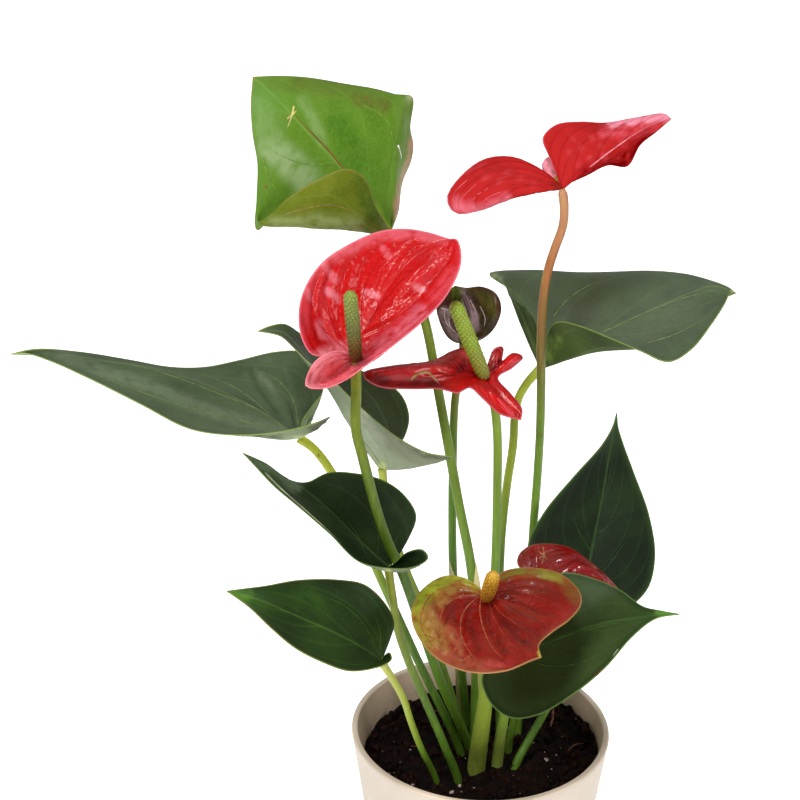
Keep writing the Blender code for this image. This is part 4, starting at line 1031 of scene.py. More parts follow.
def vein_fields(grid, places, look):
    """For each point of a half's grid: which veins it lies between (arc, a whole number on a vein), how far
    those are apart (gap), how far along them it is (flow), and its distances from the margin (edge) and the
    midrib (rib). Gap, edge and rib are in millimetres."""
    across = np.linspace(0, 1, grid.shape[1])[None, :]
    leaves_midrib = places[:, None] + VEIN_REACH * np.log(1 - VEIN_LEAN * across)
    veins = look["veins"]
    # Before the first main vein and beyond the last the count runs on.
    stops = [veins[0] - 2, veins[0] - 0.25, *veins, veins[-1] + 0.24, veins[-1] + 2]
    arc = np.interp(leaves_midrib, stops, [-9, *range(-1, len(veins) + 1), len(veins) + 9])
    # How steeply the count climbs along the surface, from the slopes of the grid.
    down, right = np.gradient(grid, axis=0), np.gradient(grid, axis=1)
    arc_down, arc_right = np.gradient(arc, axis=0), np.gradient(arc, axis=1)
    a, b, c = (np.sum(x * y, -1) for x, y in ((down, down), (down, right), (right, right)))
    climb = c * arc_down**2 - 2 * b * arc_down * arc_right + a * arc_right**2
    gap = 1000 / np.sqrt(np.maximum(climb / np.maximum(a * c - b * b, TINY_AREA), TINY))
    rib = walked(grid) * 1000
    outward = grid[:, -1] - grid[:, -2]
    sine = sine_between(outward, np.gradient(grid[:, -1], axis=0))[:, None]
    edge = (rib[:, -1:] - rib) * np.maximum(sine, LEAST_SLANT)
    flow = look["cells"] * (places[:, None] + SWELLING_LEAN * across)
    return dict(arc=arc, gap=np.minimum(gap, WIDEST_GAP), flow=flow, edge=edge, rib=rib)


def sine_between(a, b):
    """The sine of the angle between each two vectors."""
    size = np.linalg.norm(a, axis=-1) * np.linalg.norm(b, axis=-1)
    return np.linalg.norm(np.cross(a, b), axis=-1) / np.maximum(size, TINY)


def blade_surface(blade, look):
    """Points, faces, margin loop and fields of a blade's middle surface. The halves share the midrib."""
    points, faces = [], []
    fields = {name: [] for name in FIELDS}
    on_midrib, rims = {}, {}
    for side in ("left", "right"):
        grid, places = half_grid(blade, side)
        values = vein_fields(grid, places, look)
        values["place"] = np.repeat(places[:, None], grid.shape[1], 1)
        values["side"] = np.full(grid.shape[:2], -1.0 if side == "left" else 1.0)
        index = np.zeros(grid.shape[:2], int)
        last = len(grid) - 1
        for rib, step in np.ndindex(index.shape):
            station = max(0, rib - LOBE_RIBS)
            shared = rib in (0, last) or step == 0
            if shared and station in on_midrib:
                index[rib, step] = on_midrib[station]
                continue
            index[rib, step] = len(points)
            points.append(grid[rib, step])
            for name in FIELDS:
                fields[name].append(values[name][rib, step])
            if shared:
                on_midrib[station] = index[rib, step]
        for rib, step in np.ndindex(last, RIB_STEPS):
            corners = [index[rib, step], index[rib, step + 1], index[rib + 1, step + 1], index[rib + 1, step]]
            face = list(dict.fromkeys(corners))
            if len(face) > 2:
                faces.append(face if side == "right" else face[::-1])
        rims[side] = list(index[:, -1])
    loop = rims["left"] + rims["right"][-2:0:-1]
    return np.array(points), faces, loop, {name: np.array(v) for name, v in fields.items()}


def normals_at_points(points, faces):
    """Each point's normal, from the faces of three or four corners that meet there."""
    normals = np.zeros_like(points)
    for size in (3, 4):
        corners = np.array([face for face in faces if len(face) == size])
        first, second, third, last = (points[corners[:, k]] for k in (0, 1, 2, -1))
        across = np.cross(third - first, last - second)
        for corner in corners.T:
            np.add.at(normals, corner, across)
    return unit(normals)


def swelling(look, fields, seed):
    """How far each point stands out, in millimetres: swollen between the veins, sunk along them."""
    between = np.sin(math.pi * fields["arc"]) ** 2
    cells = np.empty(len(between))
    for k, (arc, flow, side) in enumerate(zip(fields["arc"], fields["flow"], fields["side"])):
        near, second = noise.voronoi(Vector((arc * SWELLINGS_ACROSS + seed, flow, side * 5)))[0][:2]
        cells[k] = min(1, (second - near) * SEAM_SHARPNESS)
    inside = smooth_step(*SWELLING_INSET, fields["edge"]) * smooth_step(*SWELLING_INSET, fields["rib"])
    return look["quilt"] * inside * (0.45 * between + 0.55 * cells - 0.5)


def stroke_share(pixels, path, radius):
    """How much of a soft brush stroke along a path of one or more points reaches each pixel, 0 to 1."""
    path = np.array(path, float)
    if len(path) == 1:
        path = np.repeat(path, 2, 0)
    nearest = np.full(len(pixels), np.inf)
    for a, b in zip(path[:-1], path[1:]):
        share = np.clip((pixels - a) @ (b - a) / max((b - a) @ (b - a), TINY), 0, 1)[:, None]
        nearest = np.minimum(nearest, np.linalg.norm(pixels - a - share * (b - a), axis=1))
    full, gone = STROKE_SOFTNESS
    return 1 - smooth_step(full * radius, gone * radius, nearest)


def raised_surface(name, points, faces, fields, seed):
    """A blade's middle surface with its swellings, its unevenness and its folds."""
    look, pixels = BLADE_LOOKS[name], pixels_of(points)
    raised = swelling(look, fields, seed)
    raised += look["wave"] * waves(points, WAVE_SIZE, seed) * smooth_step(0, VEIN_INSET, fields["edge"])
    for height, radius, *path in RIDGES.get(name, ()):
        raised += height * stroke_share(pixels, path, radius) * smooth_step(0, RIDGE_INSET, fields["edge"])
    return points + normals_at_points(points, faces) * raised[:, None] / 1000


def face_heights(thickness, fields):
    """How far the upper and the under face lie from the middle surface, in metres, with veins and midrib."""
    inner = smooth_step(0, VEIN_INSET, fields["edge"])
    to_vein = np.abs((fields["arc"] + 0.5) % 1 - 0.5) * fields["gap"]
    keel = soft_line(KEEL, fields["rib"]) * (1 - KEEL_TAPER * np.clip(fields["place"], 0, 1))
    keel *= smooth_step(-0.02, 0.02, fields["place"])
    groove = soft_line(VEIN_GROOVE, to_vein) * inner + MIDRIB_GROOVE * keel
    ridge = soft_line(VEIN_RIDGE, to_vein) * inner + keel
    return thickness / 2 - groove / 1000, thickness / 2 + ridge / 1000


def blade_tints(name, fields, pixels, mottle, upper):
    """Each point's colour on the upper or the under face."""
    look = BLADE_LOOKS[name]
    colours = np.repeat(linear(look["upper" if upper else "under"])[None], len(pixels), 0)
    if upper:
        colours = mixed(colours, look["edge"], 1 - smooth_step(0, look["edge_mm"], fields["edge"]))
        colours = mixed(colours, look["tip"], smooth_step(TIP_START, 1, fields["place"]))
    for shade, strength, radius, *path in (PAINT if upper else PAINT_UNDER).get(name, ()):
        share = stroke_share(pixels, path, radius)
        colours = mixed(colours, shade, strength * np.clip(share * (1 + mottle), 0, 1))
    return colours


def make_blade(name, blade, thickness, waxy, seed):
    """A thin solid with a rounded margin, its veins sunk on the upper face and raised on the under one."""
    look = BLADE_LOOKS[name]
    flat, faces, loop, fields = blade_surface(blade, look)
    points = raised_surface(name, flat, faces, fields, seed)
    normals = normals_at_points(points, faces)
    above, below = face_heights(thickness, fields)
    rim = np.array(loop)
    outward = unit(np.cross(np.roll(points[rim], -1, 0) - np.roll(points[rim], 1, 0), normals[rim]))
    outward *= np.sign(np.sum(outward * (points[rim] - points[rim].mean(0))))
    bulge = points[rim] + outward * thickness * RIM_BULGE
    all_points = np.vstack([points + normals * above[:, None], points - normals * below[:, None], bulge])
    count = len(points)
    solid = [tuple(f) for f in faces] + [tuple(v + count for v in f[::-1]) for f in faces]
    for k, (a, b) in enumerate(zip(loop, loop[1:] + loop[:1])):
        m, n = 2 * count + k, 2 * count + (k + 1) % len(loop)
        solid += [(b, a, m, n), (n, m, a + count, b + count)]
    kind = "_spathe_fine" if waxy else "_blade_fine"
    made = make_object(name + kind, all_points, solid, blade_material(name, look, waxy))
    dull = dict(look, shine=look["under_shine"], coat=0)
    made.data.materials.append(blade_material(name + "_under", dull, waxy))
    slots = [0] * len(faces) + [1] * len(faces) + [0] * 2 * len(loop)
    made.data.polygons.foreach_set("material_index", slots)
    rows = {key: np.concatenate([v, v, v[rim]]) for key, v in fields.items() if key != "side"}
    rows["under"] = np.concatenate([np.zeros(count), np.ones(count), np.full(len(loop), 0.5)])
    add_fields(made, rows)
    mottle = sum(strength * waves(points, size, seed) for strength, size in MOTTLE)
    tints = [blade_tints(name, fields, pixels_of(flat), mottle, upper) for upper in (True, False)]
    add_tint(made, np.vstack([*tints, tints[0][rim]]))
    return made


def add_fields(made, rows):
    """Keeps a number for each point, which the materials read."""
    for key, values in rows.items():
        kept = made.data.attributes.new(key, "FLOAT", "POINT")
        kept.data.foreach_set("value", values.astype(np.float32))


def add_tint(made, colours):
    """Keeps a colour for each point, which the materials read."""
    full = np.hstack([colours, np.ones((len(colours), 1))]).astype(np.float32)
    made.data.attributes.new("tint", "FLOAT_COLOR", "POINT").data.foreach_set("color", full.ravel())


def make_object(name, points, faces, material):
    """A smooth-shaded solid whose faces point outwards, riding on the plant."""
    mesh = bpy.data.meshes.new(name)
    low, high = np.array(SOLID_BOX)
    inside = np.clip(points, low + BOX_MARGIN, high - BOX_MARGIN)
    mesh.from_pydata(inside.tolist(), [], faces)
    work = bmesh.new()
    work.from_mesh(mesh)
    bmesh.ops.recalc_face_normals(work, faces=work.faces)
    if work.calc_volume(signed=True) < 0:
        bmesh.ops.reverse_faces(work, faces=work.faces)
    for face in work.faces:
        face.smooth = True
    work.to_mesh(mesh)
    work.free()
    mesh.materials.append(material)
    made = bpy.data.objects.new(name, mesh)
    bpy.context.scene.collection.objects.link(made)
    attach(made, "root")
    return made


def soil_height(x, y):
    """The soil's top, with lumps about 10 to 20 mm across."""
    lumps = np.sin(x * 310 + 1.3) * np.cos(y * 270 + 0.4) + 0.6 * np.sin(x * 530 - y * 610)
    return SOIL_HEIGHT + SOIL_SLOPE * x + SOIL_LUMPS * lumps


def soil_point(pixel_x, pixel_y):
    """The point of the soil's top that is seen at a pixel, found in steps because the top isn't level."""
    place = on_level(pixel_x, pixel_y, SOIL_HEIGHT)
    for _ in range(4):
        place = on_level(pixel_x, pixel_y, soil_height(place[0], place[1]))
    return place


def tube_faces(rings, sides):
    """Faces of a tube whose points are its rings, then the middles of its two ends."""
    faces = []
    first, last = rings * sides, rings * sides + 1
    for k in range(sides):
        following = (k + 1) % sides
        for ring in range(0, (rings - 1) * sides, sides):
            faces.append((ring + k, ring + following, ring + following + sides, ring + k + sides))
        faces.append((following, k, first))
        faces.append(((rings - 1) * sides + k, (rings - 1) * sides + following, last))
    return faces


def tube_rings(centres, radii, sides, facing, flatness=1.0, ridges=1.0):
    """Rings of points round a middle line, that don't twist along it."""
    tangents = unit(np.gradient(centres, axis=0))
    across = np.cross(tangents[0], facing)
    cosine, sine = circle(sides)
    rings = []
    for centre, radius, tangent in zip(centres, radii, tangents):
        across = unit(across - tangent * np.dot(across, tangent))
        up = flatness * np.cross(tangent, across)
        rings.append(centre + radius * ridges * (cosine * across + sine * up))
    return np.array(rings)


def make_tube(name, rings, ends, material):
    """A closed tube through rings of points, with the middles of its two ends."""
    return make_object(name, np.vstack([*rings, ends]), tube_faces(*rings.shape[:2]), material)


def for_points(values, sides):
    """A number for each point of a tube, from one for each ring."""
    return np.append(np.repeat(values, sides), [values[0], values[-1]])


def stalk_centres(points, soil):
    """A stalk's middle line, from its top to its foot under the soil, where it turns steeply down."""
    top = outline(points)
    entry = soil_point(*soil)
    way = unit(unit(entry - top[-1]) + (0, 0, -PLUNGE))
    return smooth_curve([*top, entry, entry + way * HOLE_DEPTH])


def make_stalk(name, points, run, material, seed, pointed=False):
    """A round stalk, a little thicker where it carries the blade, with fine lengthwise ridges. A pointed one
    is a flat sheath."""
    shares = np.linspace(0, 1, STALK_RINGS) ** RING_POWER
    centres = at_share(stalk_centres(points, run["soil"]), shares)
    down = walked(centres) * 1000
    if pointed:
        radii, flatness = SHEATH_WIDTH * smooth_step(*SHEATH_POINT, down), SHEATH_FLATNESS
    else:
        radii, flatness = np.interp(shares, (0, 1), run["radii"]) / 1000, 1.0
        radii *= 1 + COLLAR * np.exp(-down / COLLAR_MM)
        radii *= 1 + UNEVENNESS * waves(centres, UNEVEN_SIZE, seed)
    if name.startswith("flower"):
        radii *= NECK + (1 - NECK) * smooth_step(0, NECK_MM, down)
    ridges = 1 + RIDGE_HEIGHT * np.cos(STALK_RIDGES * angles_round(STALK_SIDES))[:, None]
    rings = tube_rings(centres, radii, STALK_SIDES, (0, 1, 0), flatness, ridges)
    made = make_tube(name, rings, centres[[0, -1]], material)
    stops = np.linspace(0, COLOUR_END, len(run["colours"]))
    add_tint(made, at_share(linear(run["colours"]), for_points(shares, STALK_SIDES), stops))
    add_fields(made, {"down": for_points(down, STALK_SIDES)})
    return made


def floret_bumps(heights, radius, length):
    """How high each point of a spadix stands: 0 in the seams between its florets, 1 on them. They sit in a
    spiral, each a little astray."""
    florets = int(2 * math.pi * radius * length / FLORET_SIZE**2)
    k = np.arange(florets)
    seats = np.stack([(k + 0.5) / florets * length, (k * GOLDEN_ANGLE) % (2 * math.pi)], -1)
    stray = np.stack([np.sin(k * 5.1) * FLORET_SIZE, np.sin(k * 7.7) * FLORET_SIZE / radius], -1)
    seats += stray * FLORET_STRAY
    bumps = np.empty((len(heights), SPADIX_SIDES))
    for row, height in enumerate(heights):
        close = seats[np.abs(seats[:, 0] - height) < 2 * FLORET_SIZE]
        turn = (angles_round(SPADIX_SIDES)[:, None] - close[:, 1] + math.pi) % (2 * math.pi) - math.pi
        away = np.sort(np.hypot(turn * radius, height - close[:, 0]) / FLORET_SIZE, 1)
        bumps[row] = np.clip((away[:, 1] - away[:, 0]) / FLORET_SEAM, 0, 1)
    return bumps


def make_spadix(name, spadix, material):
    """A rounded club covered with a spiral of small florets, each a low diamond-shaped bump."""
    start, end = on_ray(*spadix["start"]), on_ray(*spadix["end"])
    way = unit(end - start)
    across = unit(np.cross(way, (0, 1, 0.3)))
    up = np.cross(way, across)
    length, radius = np.linalg.norm(end - start), spadix["radius"] / 1000
    share = np.linspace(0, 1, int(length / SPADIX_RING))
    belly = 0.92 + 0.08 * np.sin(share * math.pi)
    foot = np.sqrt(1 - 0.3 * (1 - np.clip(share * length / (1.2 * radius), 0, 1)) ** 2)
    tip = np.sqrt(1.0004 - (1 - np.clip((1 - share) * length / (1.3 * radius), 0, 1)) ** 2)
    width = radius * belly * foot * np.minimum(tip, 1)
    bumps = floret_bumps(share * length, radius, length)
    swell = width[:, None] * (1 - FLORET_HEIGHT * (1 - np.sqrt(bumps)))
    cosine, sine = circle(SPADIX_SIDES)
    rings = start + (end - start) * share[:, None, None] + swell[..., None] * (cosine * across + sine * up)
    made = make_tube(name, rings, (start, end), material)
    along = for_points(share, SPADIX_SIDES)
    add_tint(made, at_share(linear(spadix["colours"]), along))
    add_fields(made, {"bump": np.append(bumps, [1, 1])})
    return made


def turned(profile, sides):
    """Points of a solid turned round the Z axis from (radius, height) points: its rings, then the middle of
    its bottom and of its top."""
    cosine, sine = circle(sides)
    rings = [np.hstack([r * cosine, r * sine, np.full_like(cosine, height)]) for r, height in profile]
    return np.vstack([*rings, (0, 0, profile[0][1]), (0, 0, profile[-1][1])])


def wall_radius(height):
    """The pot's outside radius at a height."""
    return FOOT_RADIUS + (RIM_RADIUS - FOOT_RADIUS) * height / POT_HEIGHT


def soil_radius(height):
    """The soil's radius at a height, just inside the pot's wall."""
    return wall_radius(height) - WALL - SIDE_GAP


def rounded(corner_x, corner_y, radius, start_degrees, end_degrees):
    """Points of a quarter-round corner of a profile, about its centre."""
    angles = np.radians(np.linspace(start_degrees, end_degrees, 7))
    return [(corner_x + radius * math.cos(a), corner_y + radius * math.sin(a)) for a in angles]


def make_pot(material):
    """Up the outside from the underside, over the rounded rim and down the inside to the floor."""
    r, top, straight, fillet = RIM_ROUNDING, POT_HEIGHT, 0.004, 0.002
    lip, inner_lip = RIM_RADIUS - r, RIM_RADIUS - WALL + r
    outside = [(wall_radius(h), h) for h in np.linspace(straight, top - straight, WALL_RINGS)]
    inside = [(radius - WALL, h) for radius, h in outside[::-1] if h > FLOOR + fillet]
    profile = [(FOOT_RADIUS - r, 0), *rounded(FOOT_RADIUS - r, r, r, -80, 0), *outside,
               *rounded(lip, top - r, r, 0, 90), *rounded(inner_lip, top - r, r, 90, 180), *inside,
               (wall_radius(FLOOR) - WALL - fillet, FLOOR)]
    made = make_object("pot_body", turned(profile, POT_SIDES), tube_faces(len(profile), POT_SIDES), material)
    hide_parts("pot")


def rough_soil(x, y):
    """The height of the soil's top with its crumbs."""
    p = Vector((x, y, 0))
    clods = noise.fractal(p * CLODS_PER_METRE, 0.8, 2.1, 4)
    nearest = noise.voronoi(p * CRUMBS_PER_METRE)[0][0]
    return float(soil_height(x, y)) + CLODS * clods + CRUMBS * (0.5 - min(0.8, nearest))


def make_soil(material):
    """The soil's body, with a crumbly top."""
    bottom, middle, edge = FLOOR + 0.0003, 0.05, soil_radius(SOIL_HEIGHT)
    profile = [(soil_radius(bottom), bottom), (soil_radius(middle), middle)]
    profile += [(edge * ring / SOIL_RINGS, SOIL_HEIGHT) for ring in range(SOIL_RINGS, 0, -1)]
    points = turned(profile, SOIL_SIDES)
    for point in [*points[2 * SOIL_SIDES:-2], points[-1]]:
        point[2] = rough_soil(point[0], point[1])
    made = make_object("soil_body", points, tube_faces(len(profile), SOIL_SIDES), material)
    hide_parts("soil")


def grain_shape(seed):
    """Points and faces of an uneven grain, about 1 across."""
    work = bmesh.new()
    bmesh.ops.create_icosphere(work, subdivisions=2, radius=0.5)
    for v in work.verts:
        v.co *= 1 + 0.55 * noise.noise(v.co * 2.6 + Vector((seed, seed, 0)))
    points = np.array([v.co for v in work.verts])
    faces = np.array([[v.index for v in f.verts] for f in work.faces])
    work.free()
    return points, faces


def turn_matrix(spin, lean):
    """Turns points about the Z axis and then about the X axis."""
    c, s, a, b = math.cos(spin), math.sin(spin), math.cos(lean), math.sin(lean)
    return np.array([[c, s, 0], [-s, c, 0], [0, 0, 1]]) @ np.array([[1, 0, 0], [0, a, b], [0, -b, a]])


def scatter_grains(name, count, low, high, material, chance, flatness, inner):
    """Grains strewn over the soil as one piece, each sunk a little into it."""
    shapes = [grain_shape(k) for k in range(GRAIN_SHAPES)]
    edge = soil_radius(SOIL_HEIGHT)
    points, faces, total = [], [], 0
    for _ in range(count):
        size = low * (high / low) ** (chance.random() ** 2)
        far = (edge - size * 0.6) * math.sqrt(inner + (1 - inner) * chance.random())
        angle = chance.random() * 2 * math.pi
        x, y = far * math.cos(angle), far * math.sin(angle)
        shape, sides = shapes[chance.randrange(GRAIN_SHAPES)]
        spin = chance.random() * 2 * math.pi
        lean = chance.random() * math.pi
        grain = (shape * size * (1, 0.8, flatness)) @ turn_matrix(spin, lean)
        points.append(grain + (x, y, rough_soil(x, y) + size * GRAIN_HEIGHT))
        faces.append(sides + total)
        total += len(shape)
    made = make_object(name, np.vstack(points), np.vstack(faces).tolist(), material)


def strand(name, points, radius, material, facing=(0.3, 0.2, 1), flatness=1.0):
    """A thin strand along a smooth curve, such as a twig or a fibre, or a flap when it is flat."""
    curve = smooth_curve(points)[::STRAND_SKIP]
    k = np.arange(len(curve))
    from_end = np.minimum(k, k[::-1]) / len(curve)
    knots = 1 + 0.25 * flatness**2 * np.sin(k * 1.9)
    radii = radius * knots * np.minimum(1, 0.4 + 4 * from_end)
    rings = tube_rings(curve, radii, STRAND_SIDES, facing, flatness)
    made = make_tube(name, rings, curve[[0, -1]], material)


def unbroken(hits):
    """The hits, split wherever the next one lies on another surface behind or in front."""
    runs = [[]]
    for place, normal in hits:
        if runs[-1] and np.linalg.norm(place - runs[-1][-1][0]) > LINE_JUMP:
            runs.append([])
        runs[-1].append((place, normal))
    return [run for run in runs if len(run) >= SHORTEST_RUN]


def line_on(run, radius):
    """Points of a thin raised line along a run of hits: its rings, then the middles of its ends."""
    places, normals = (np.array(part) for part in zip(*run))
    centres = places - normals * radius * LINE_FLATNESS * LINE_SUNK
    tangents = unit(np.gradient(centres, axis=0))
    across = unit(np.cross(tangents, normals))
    up = np.cross(across, tangents)
    cosine, sine = circle(LINE_SIDES)
    thick = radius * np.interp(np.linspace(0, 1, len(run)), LINE_STOPS, LINE_WIDTHS)
    rings = [c + r * (cosine * a + LINE_FLATNESS * sine * u)
             for c, r, a, u in zip(centres, thick, across, up)]
    return np.vstack([*rings, centres[[0, -1]]])


def laid_lines(name, blade, paths, radius, colour):
    """Thin raised lines, such as veins or scars, lying on a blade where the photograph shows them. Each path
    is in pixels, and the lines thin out towards its end."""
    mesh = blade.data
    tree = BVHTree.FromPolygons([v.co for v in mesh.vertices], [tuple(p.vertices) for p in mesh.polygons])
    camera = Vector(CAMERA_PLACE)
    points, faces, total = [], [], 0
    for path in paths:
        pixels = smooth_curve([(x, y, 0) for x, y in path])[::LINE_SKIP]
        hits = [tree.ray_cast(camera, Vector(viewing_direction(x, y)))[:2] for x, y, _ in pixels]
        for run in unbroken([hit for hit in hits if hit[0] is not None]):
            points.append(line_on(run, radius))
            faces += [tuple(v + total for v in face) for face in tube_faces(len(run), LINE_SIDES)]
            total += len(points[-1])
    made = make_object(name, np.vstack(points), faces, line_material(name, colour))


def rgba(colour):
    """A node's colour socket, or a colour of 0 to 255, as what a colour input takes."""
    if isinstance(colour, bpy.types.NodeSocket):
        return colour
    return (*linear(colour), 1)


class Shader:
    """Short calls that build a material's nodes."""

    def __init__(self, name, **sockets):
        self.material = bpy.data.materials.new(name)
        self.material.use_nodes = True
        self.tree = self.material.node_tree
        self.surface = self.tree.nodes["Principled BSDF"]
        for socket, value in sockets.items():
            self.surface.inputs[socket.replace("_", " ")].default_value = value

    def node(self, kind, inputs, output=0, **settings):
        """A new node's output. Its inputs are numbers, colours or other nodes' outputs."""
        made = self.tree.nodes.new("ShaderNode" + kind)
        for key, value in settings.items():
            setattr(made, key, value)
        for key, value in inputs.items():
            if isinstance(value, bpy.types.NodeSocket):
                self.tree.links.new(value, made.inputs[key])
            else:
                made.inputs[key].default_value = value
        return made.outputs[output]

    def field(self, name):
        """The number kept for each point under this name."""
        return self.node("Attribute", {}, "Fac", attribute_name=name)

    def tint(self):
        return self.node("Attribute", {}, "Color", attribute_name="tint")

    def place(self):
        return self.node("TexCoord", {}, "Object")

    def math(self, operation, *values):
        return self.node("Math", dict(enumerate(values)), operation=operation)

    def plus(self, first, second):
        return self.math("ADD", first, second)

    def times(self, first, second):
        return self.math("MULTIPLY", first, second)

    def step(self, value, low, high, start=0, end=1):
        """value turned into start at low and below, end at high and above, smoothly between."""
        inputs = {"Value": value, "From Min": low, "From Max": high, "To Min": start, "To Max": end}
        return self.node("MapRange", inputs, "Result", interpolation_type="SMOOTHSTEP")

    def blend(self, share, first, second):
        """first where share is 0, second where it is 1."""
        return self.node("Mix", {0: share, 6: rgba(first), 7: rgba(second)}, 2, data_type="RGBA")

    def noise(self, scale, vector, detail=3, roughness=0.5):
        inputs = {"Vector": vector, "Scale": scale, "Detail": detail, "Roughness": roughness}
        return self.node("TexNoise", inputs, "Fac")

    def cells(self, scale, vector, feature):
        return self.node("TexVoronoi", {"Vector": vector, "Scale": scale}, "Distance", feature=feature)

    def vector(self, x, y):
        return self.node("CombineXYZ", {"X": x, "Y": y})

    def stretched(self, vector, scale):
        return self.node("Mapping", {"Vector": vector, "Scale": scale})

    def use(self, socket, output):
        self.tree.links.new(output, self.surface.inputs[socket])

    def bump(self, height, strength, distance):
        inputs = {"Height": height, "Strength": strength, "Distance": distance}
        self.use("Normal", self.node("Bump", inputs, "Normal"))


def blade_material(name, look, waxy):
    """Tinted blade with main veins, a fine net between them, a midrib, a margin line and a dull underside."""
    s = Shader(name, Coat_Weight=look["coat"], Coat_Roughness=0.1, IOR=1.45, Specular_IOR_Level=look["shine"])
    place = s.place()
    arc, gap, edge = s.field("arc"), s.field("gap"), s.field("edge")
    rib, under, along = s.field("rib"), s.field("under"), s.field("place")
    beside = s.math("ABSOLUTE", s.math("SUBTRACT", s.math("FRACT", s.plus(arc, 0.5)), 0.5))
    inside = s.step(edge, 0.6, 5)
    wobble = s.times(s.noise(170, place, 2), 0.5)
    vein = s.times(s.step(s.times(beside, gap), 0.15, 0.75, 1, 0), inside)
    midrib = s.times(s.step(rib, 0.25, 0.9, 1, 0), s.step(along, -0.01, 0.01))
    line = s.step(edge, 0.2, 0.6, 1, 0)
    web = s.vector(s.plus(s.times(arc, 7), wobble), s.times(s.field("flow"), 2.6))
    net = s.step(s.cells(1, web, "DISTANCE_TO_EDGE"), 0, 0.12, 1, 0)
    patches = s.noise(38, place, 4, 0.6)
    fine = s.noise(900, place, 2)
    colour = s.blend(s.step(patches, 0.45, 0.75, 0, 0.12), s.tint(), look["vein"])
    colour = s.blend(s.step(patches, 0.3, 0.5, 0.22, 0), colour, (0, 0, 0))
    for share, strength in ((net, "net"), (vein, "vein_share"), (midrib, "midrib")):
        colour = s.blend(s.times(share, look[strength]), colour, look["vein"])
    colour = s.blend(s.times(line, 0.6), colour, look["line"])
    s.use("Base Color", colour)
    dull = s.step(fine, 0.3, 0.7, look["gloss"], look["gloss"] + 0.09)
    s.use("Roughness", s.plus(s.times(under, 0.22), dull))
    height = s.math("SUBTRACT", s.times(fine, 0.18), s.times(net, 0.4))
    if look["pucker"]:
        streak = s.vector(s.times(arc, 7), s.times(rib, 0.3))
        height = s.math("MULTIPLY_ADD", s.noise(1, streak, 2), look["pucker"], height)
    s.bump(height, 0.5 if waxy else 0.22, 0.00018)
    return s.material


def stalk_material():
    """Smooth green stalk, streaked along its length, with a few small brown flecks."""
    s = Shader("stalk", Roughness=0.4, Specular_IOR_Level=0.25)
    place = s.place()
    streaks = s.noise(1, s.stretched(place, (900, 900, 60)))
    broad = s.noise(70, place)
    flecks = s.cells(210, s.stretched(place, (1, 1, 0.6)), "F1")
    colour = s.blend(s.step(streaks, 0.45, 0.8, 0, 0.2), s.tint(), (180, 192, 70))
    colour = s.blend(s.step(streaks, 0.2, 0.45, 0.3, 0), colour, (50, 80, 14))
    colour = s.blend(s.step(broad, 0.35, 0.6, 0.10, 0), colour, (70, 96, 34))
    fleck = s.times(s.step(flecks, 0.10, 0.17, 1, 0), s.step(broad, 0.52, 0.62))
    colour = s.blend(s.times(fleck, 0.8), colour, (110, 78, 40))
    s.use("Base Color", colour)
    s.use("Roughness", s.step(streaks, 0.3, 0.7, 0.34, 0.48))
    s.bump(streaks, 0.4, 0.0002)
    return s.material


def spadix_material():
    """Florets with painted shade in the seams between them and a painted highlight on each crown."""
    s = Shader("spadix", Roughness=0.5)
    bump = s.field("bump")
    # Painted shade in the seams between the florets.
    colour = s.blend(s.step(bump, 0, 0.5, 0.5, 0), s.tint(), (62, 70, 10))
    # Painted highlight on each floret's crown.
    colour = s.blend(s.step(bump, 0.7, 1, 0, 0.13), colour, (230, 226, 130))
    colour = s.blend(s.step(s.noise(260, s.place()), 0.4, 0.7, 0, 0.25), colour, (120, 96, 40))
    s.use("Base Color", colour)
    s.use("Roughness", s.step(bump, 0.2, 1, 0.62, 0.42))
    s.bump(s.noise(2400, s.place(), 2), 0.3, 0.0001)
    return s.material


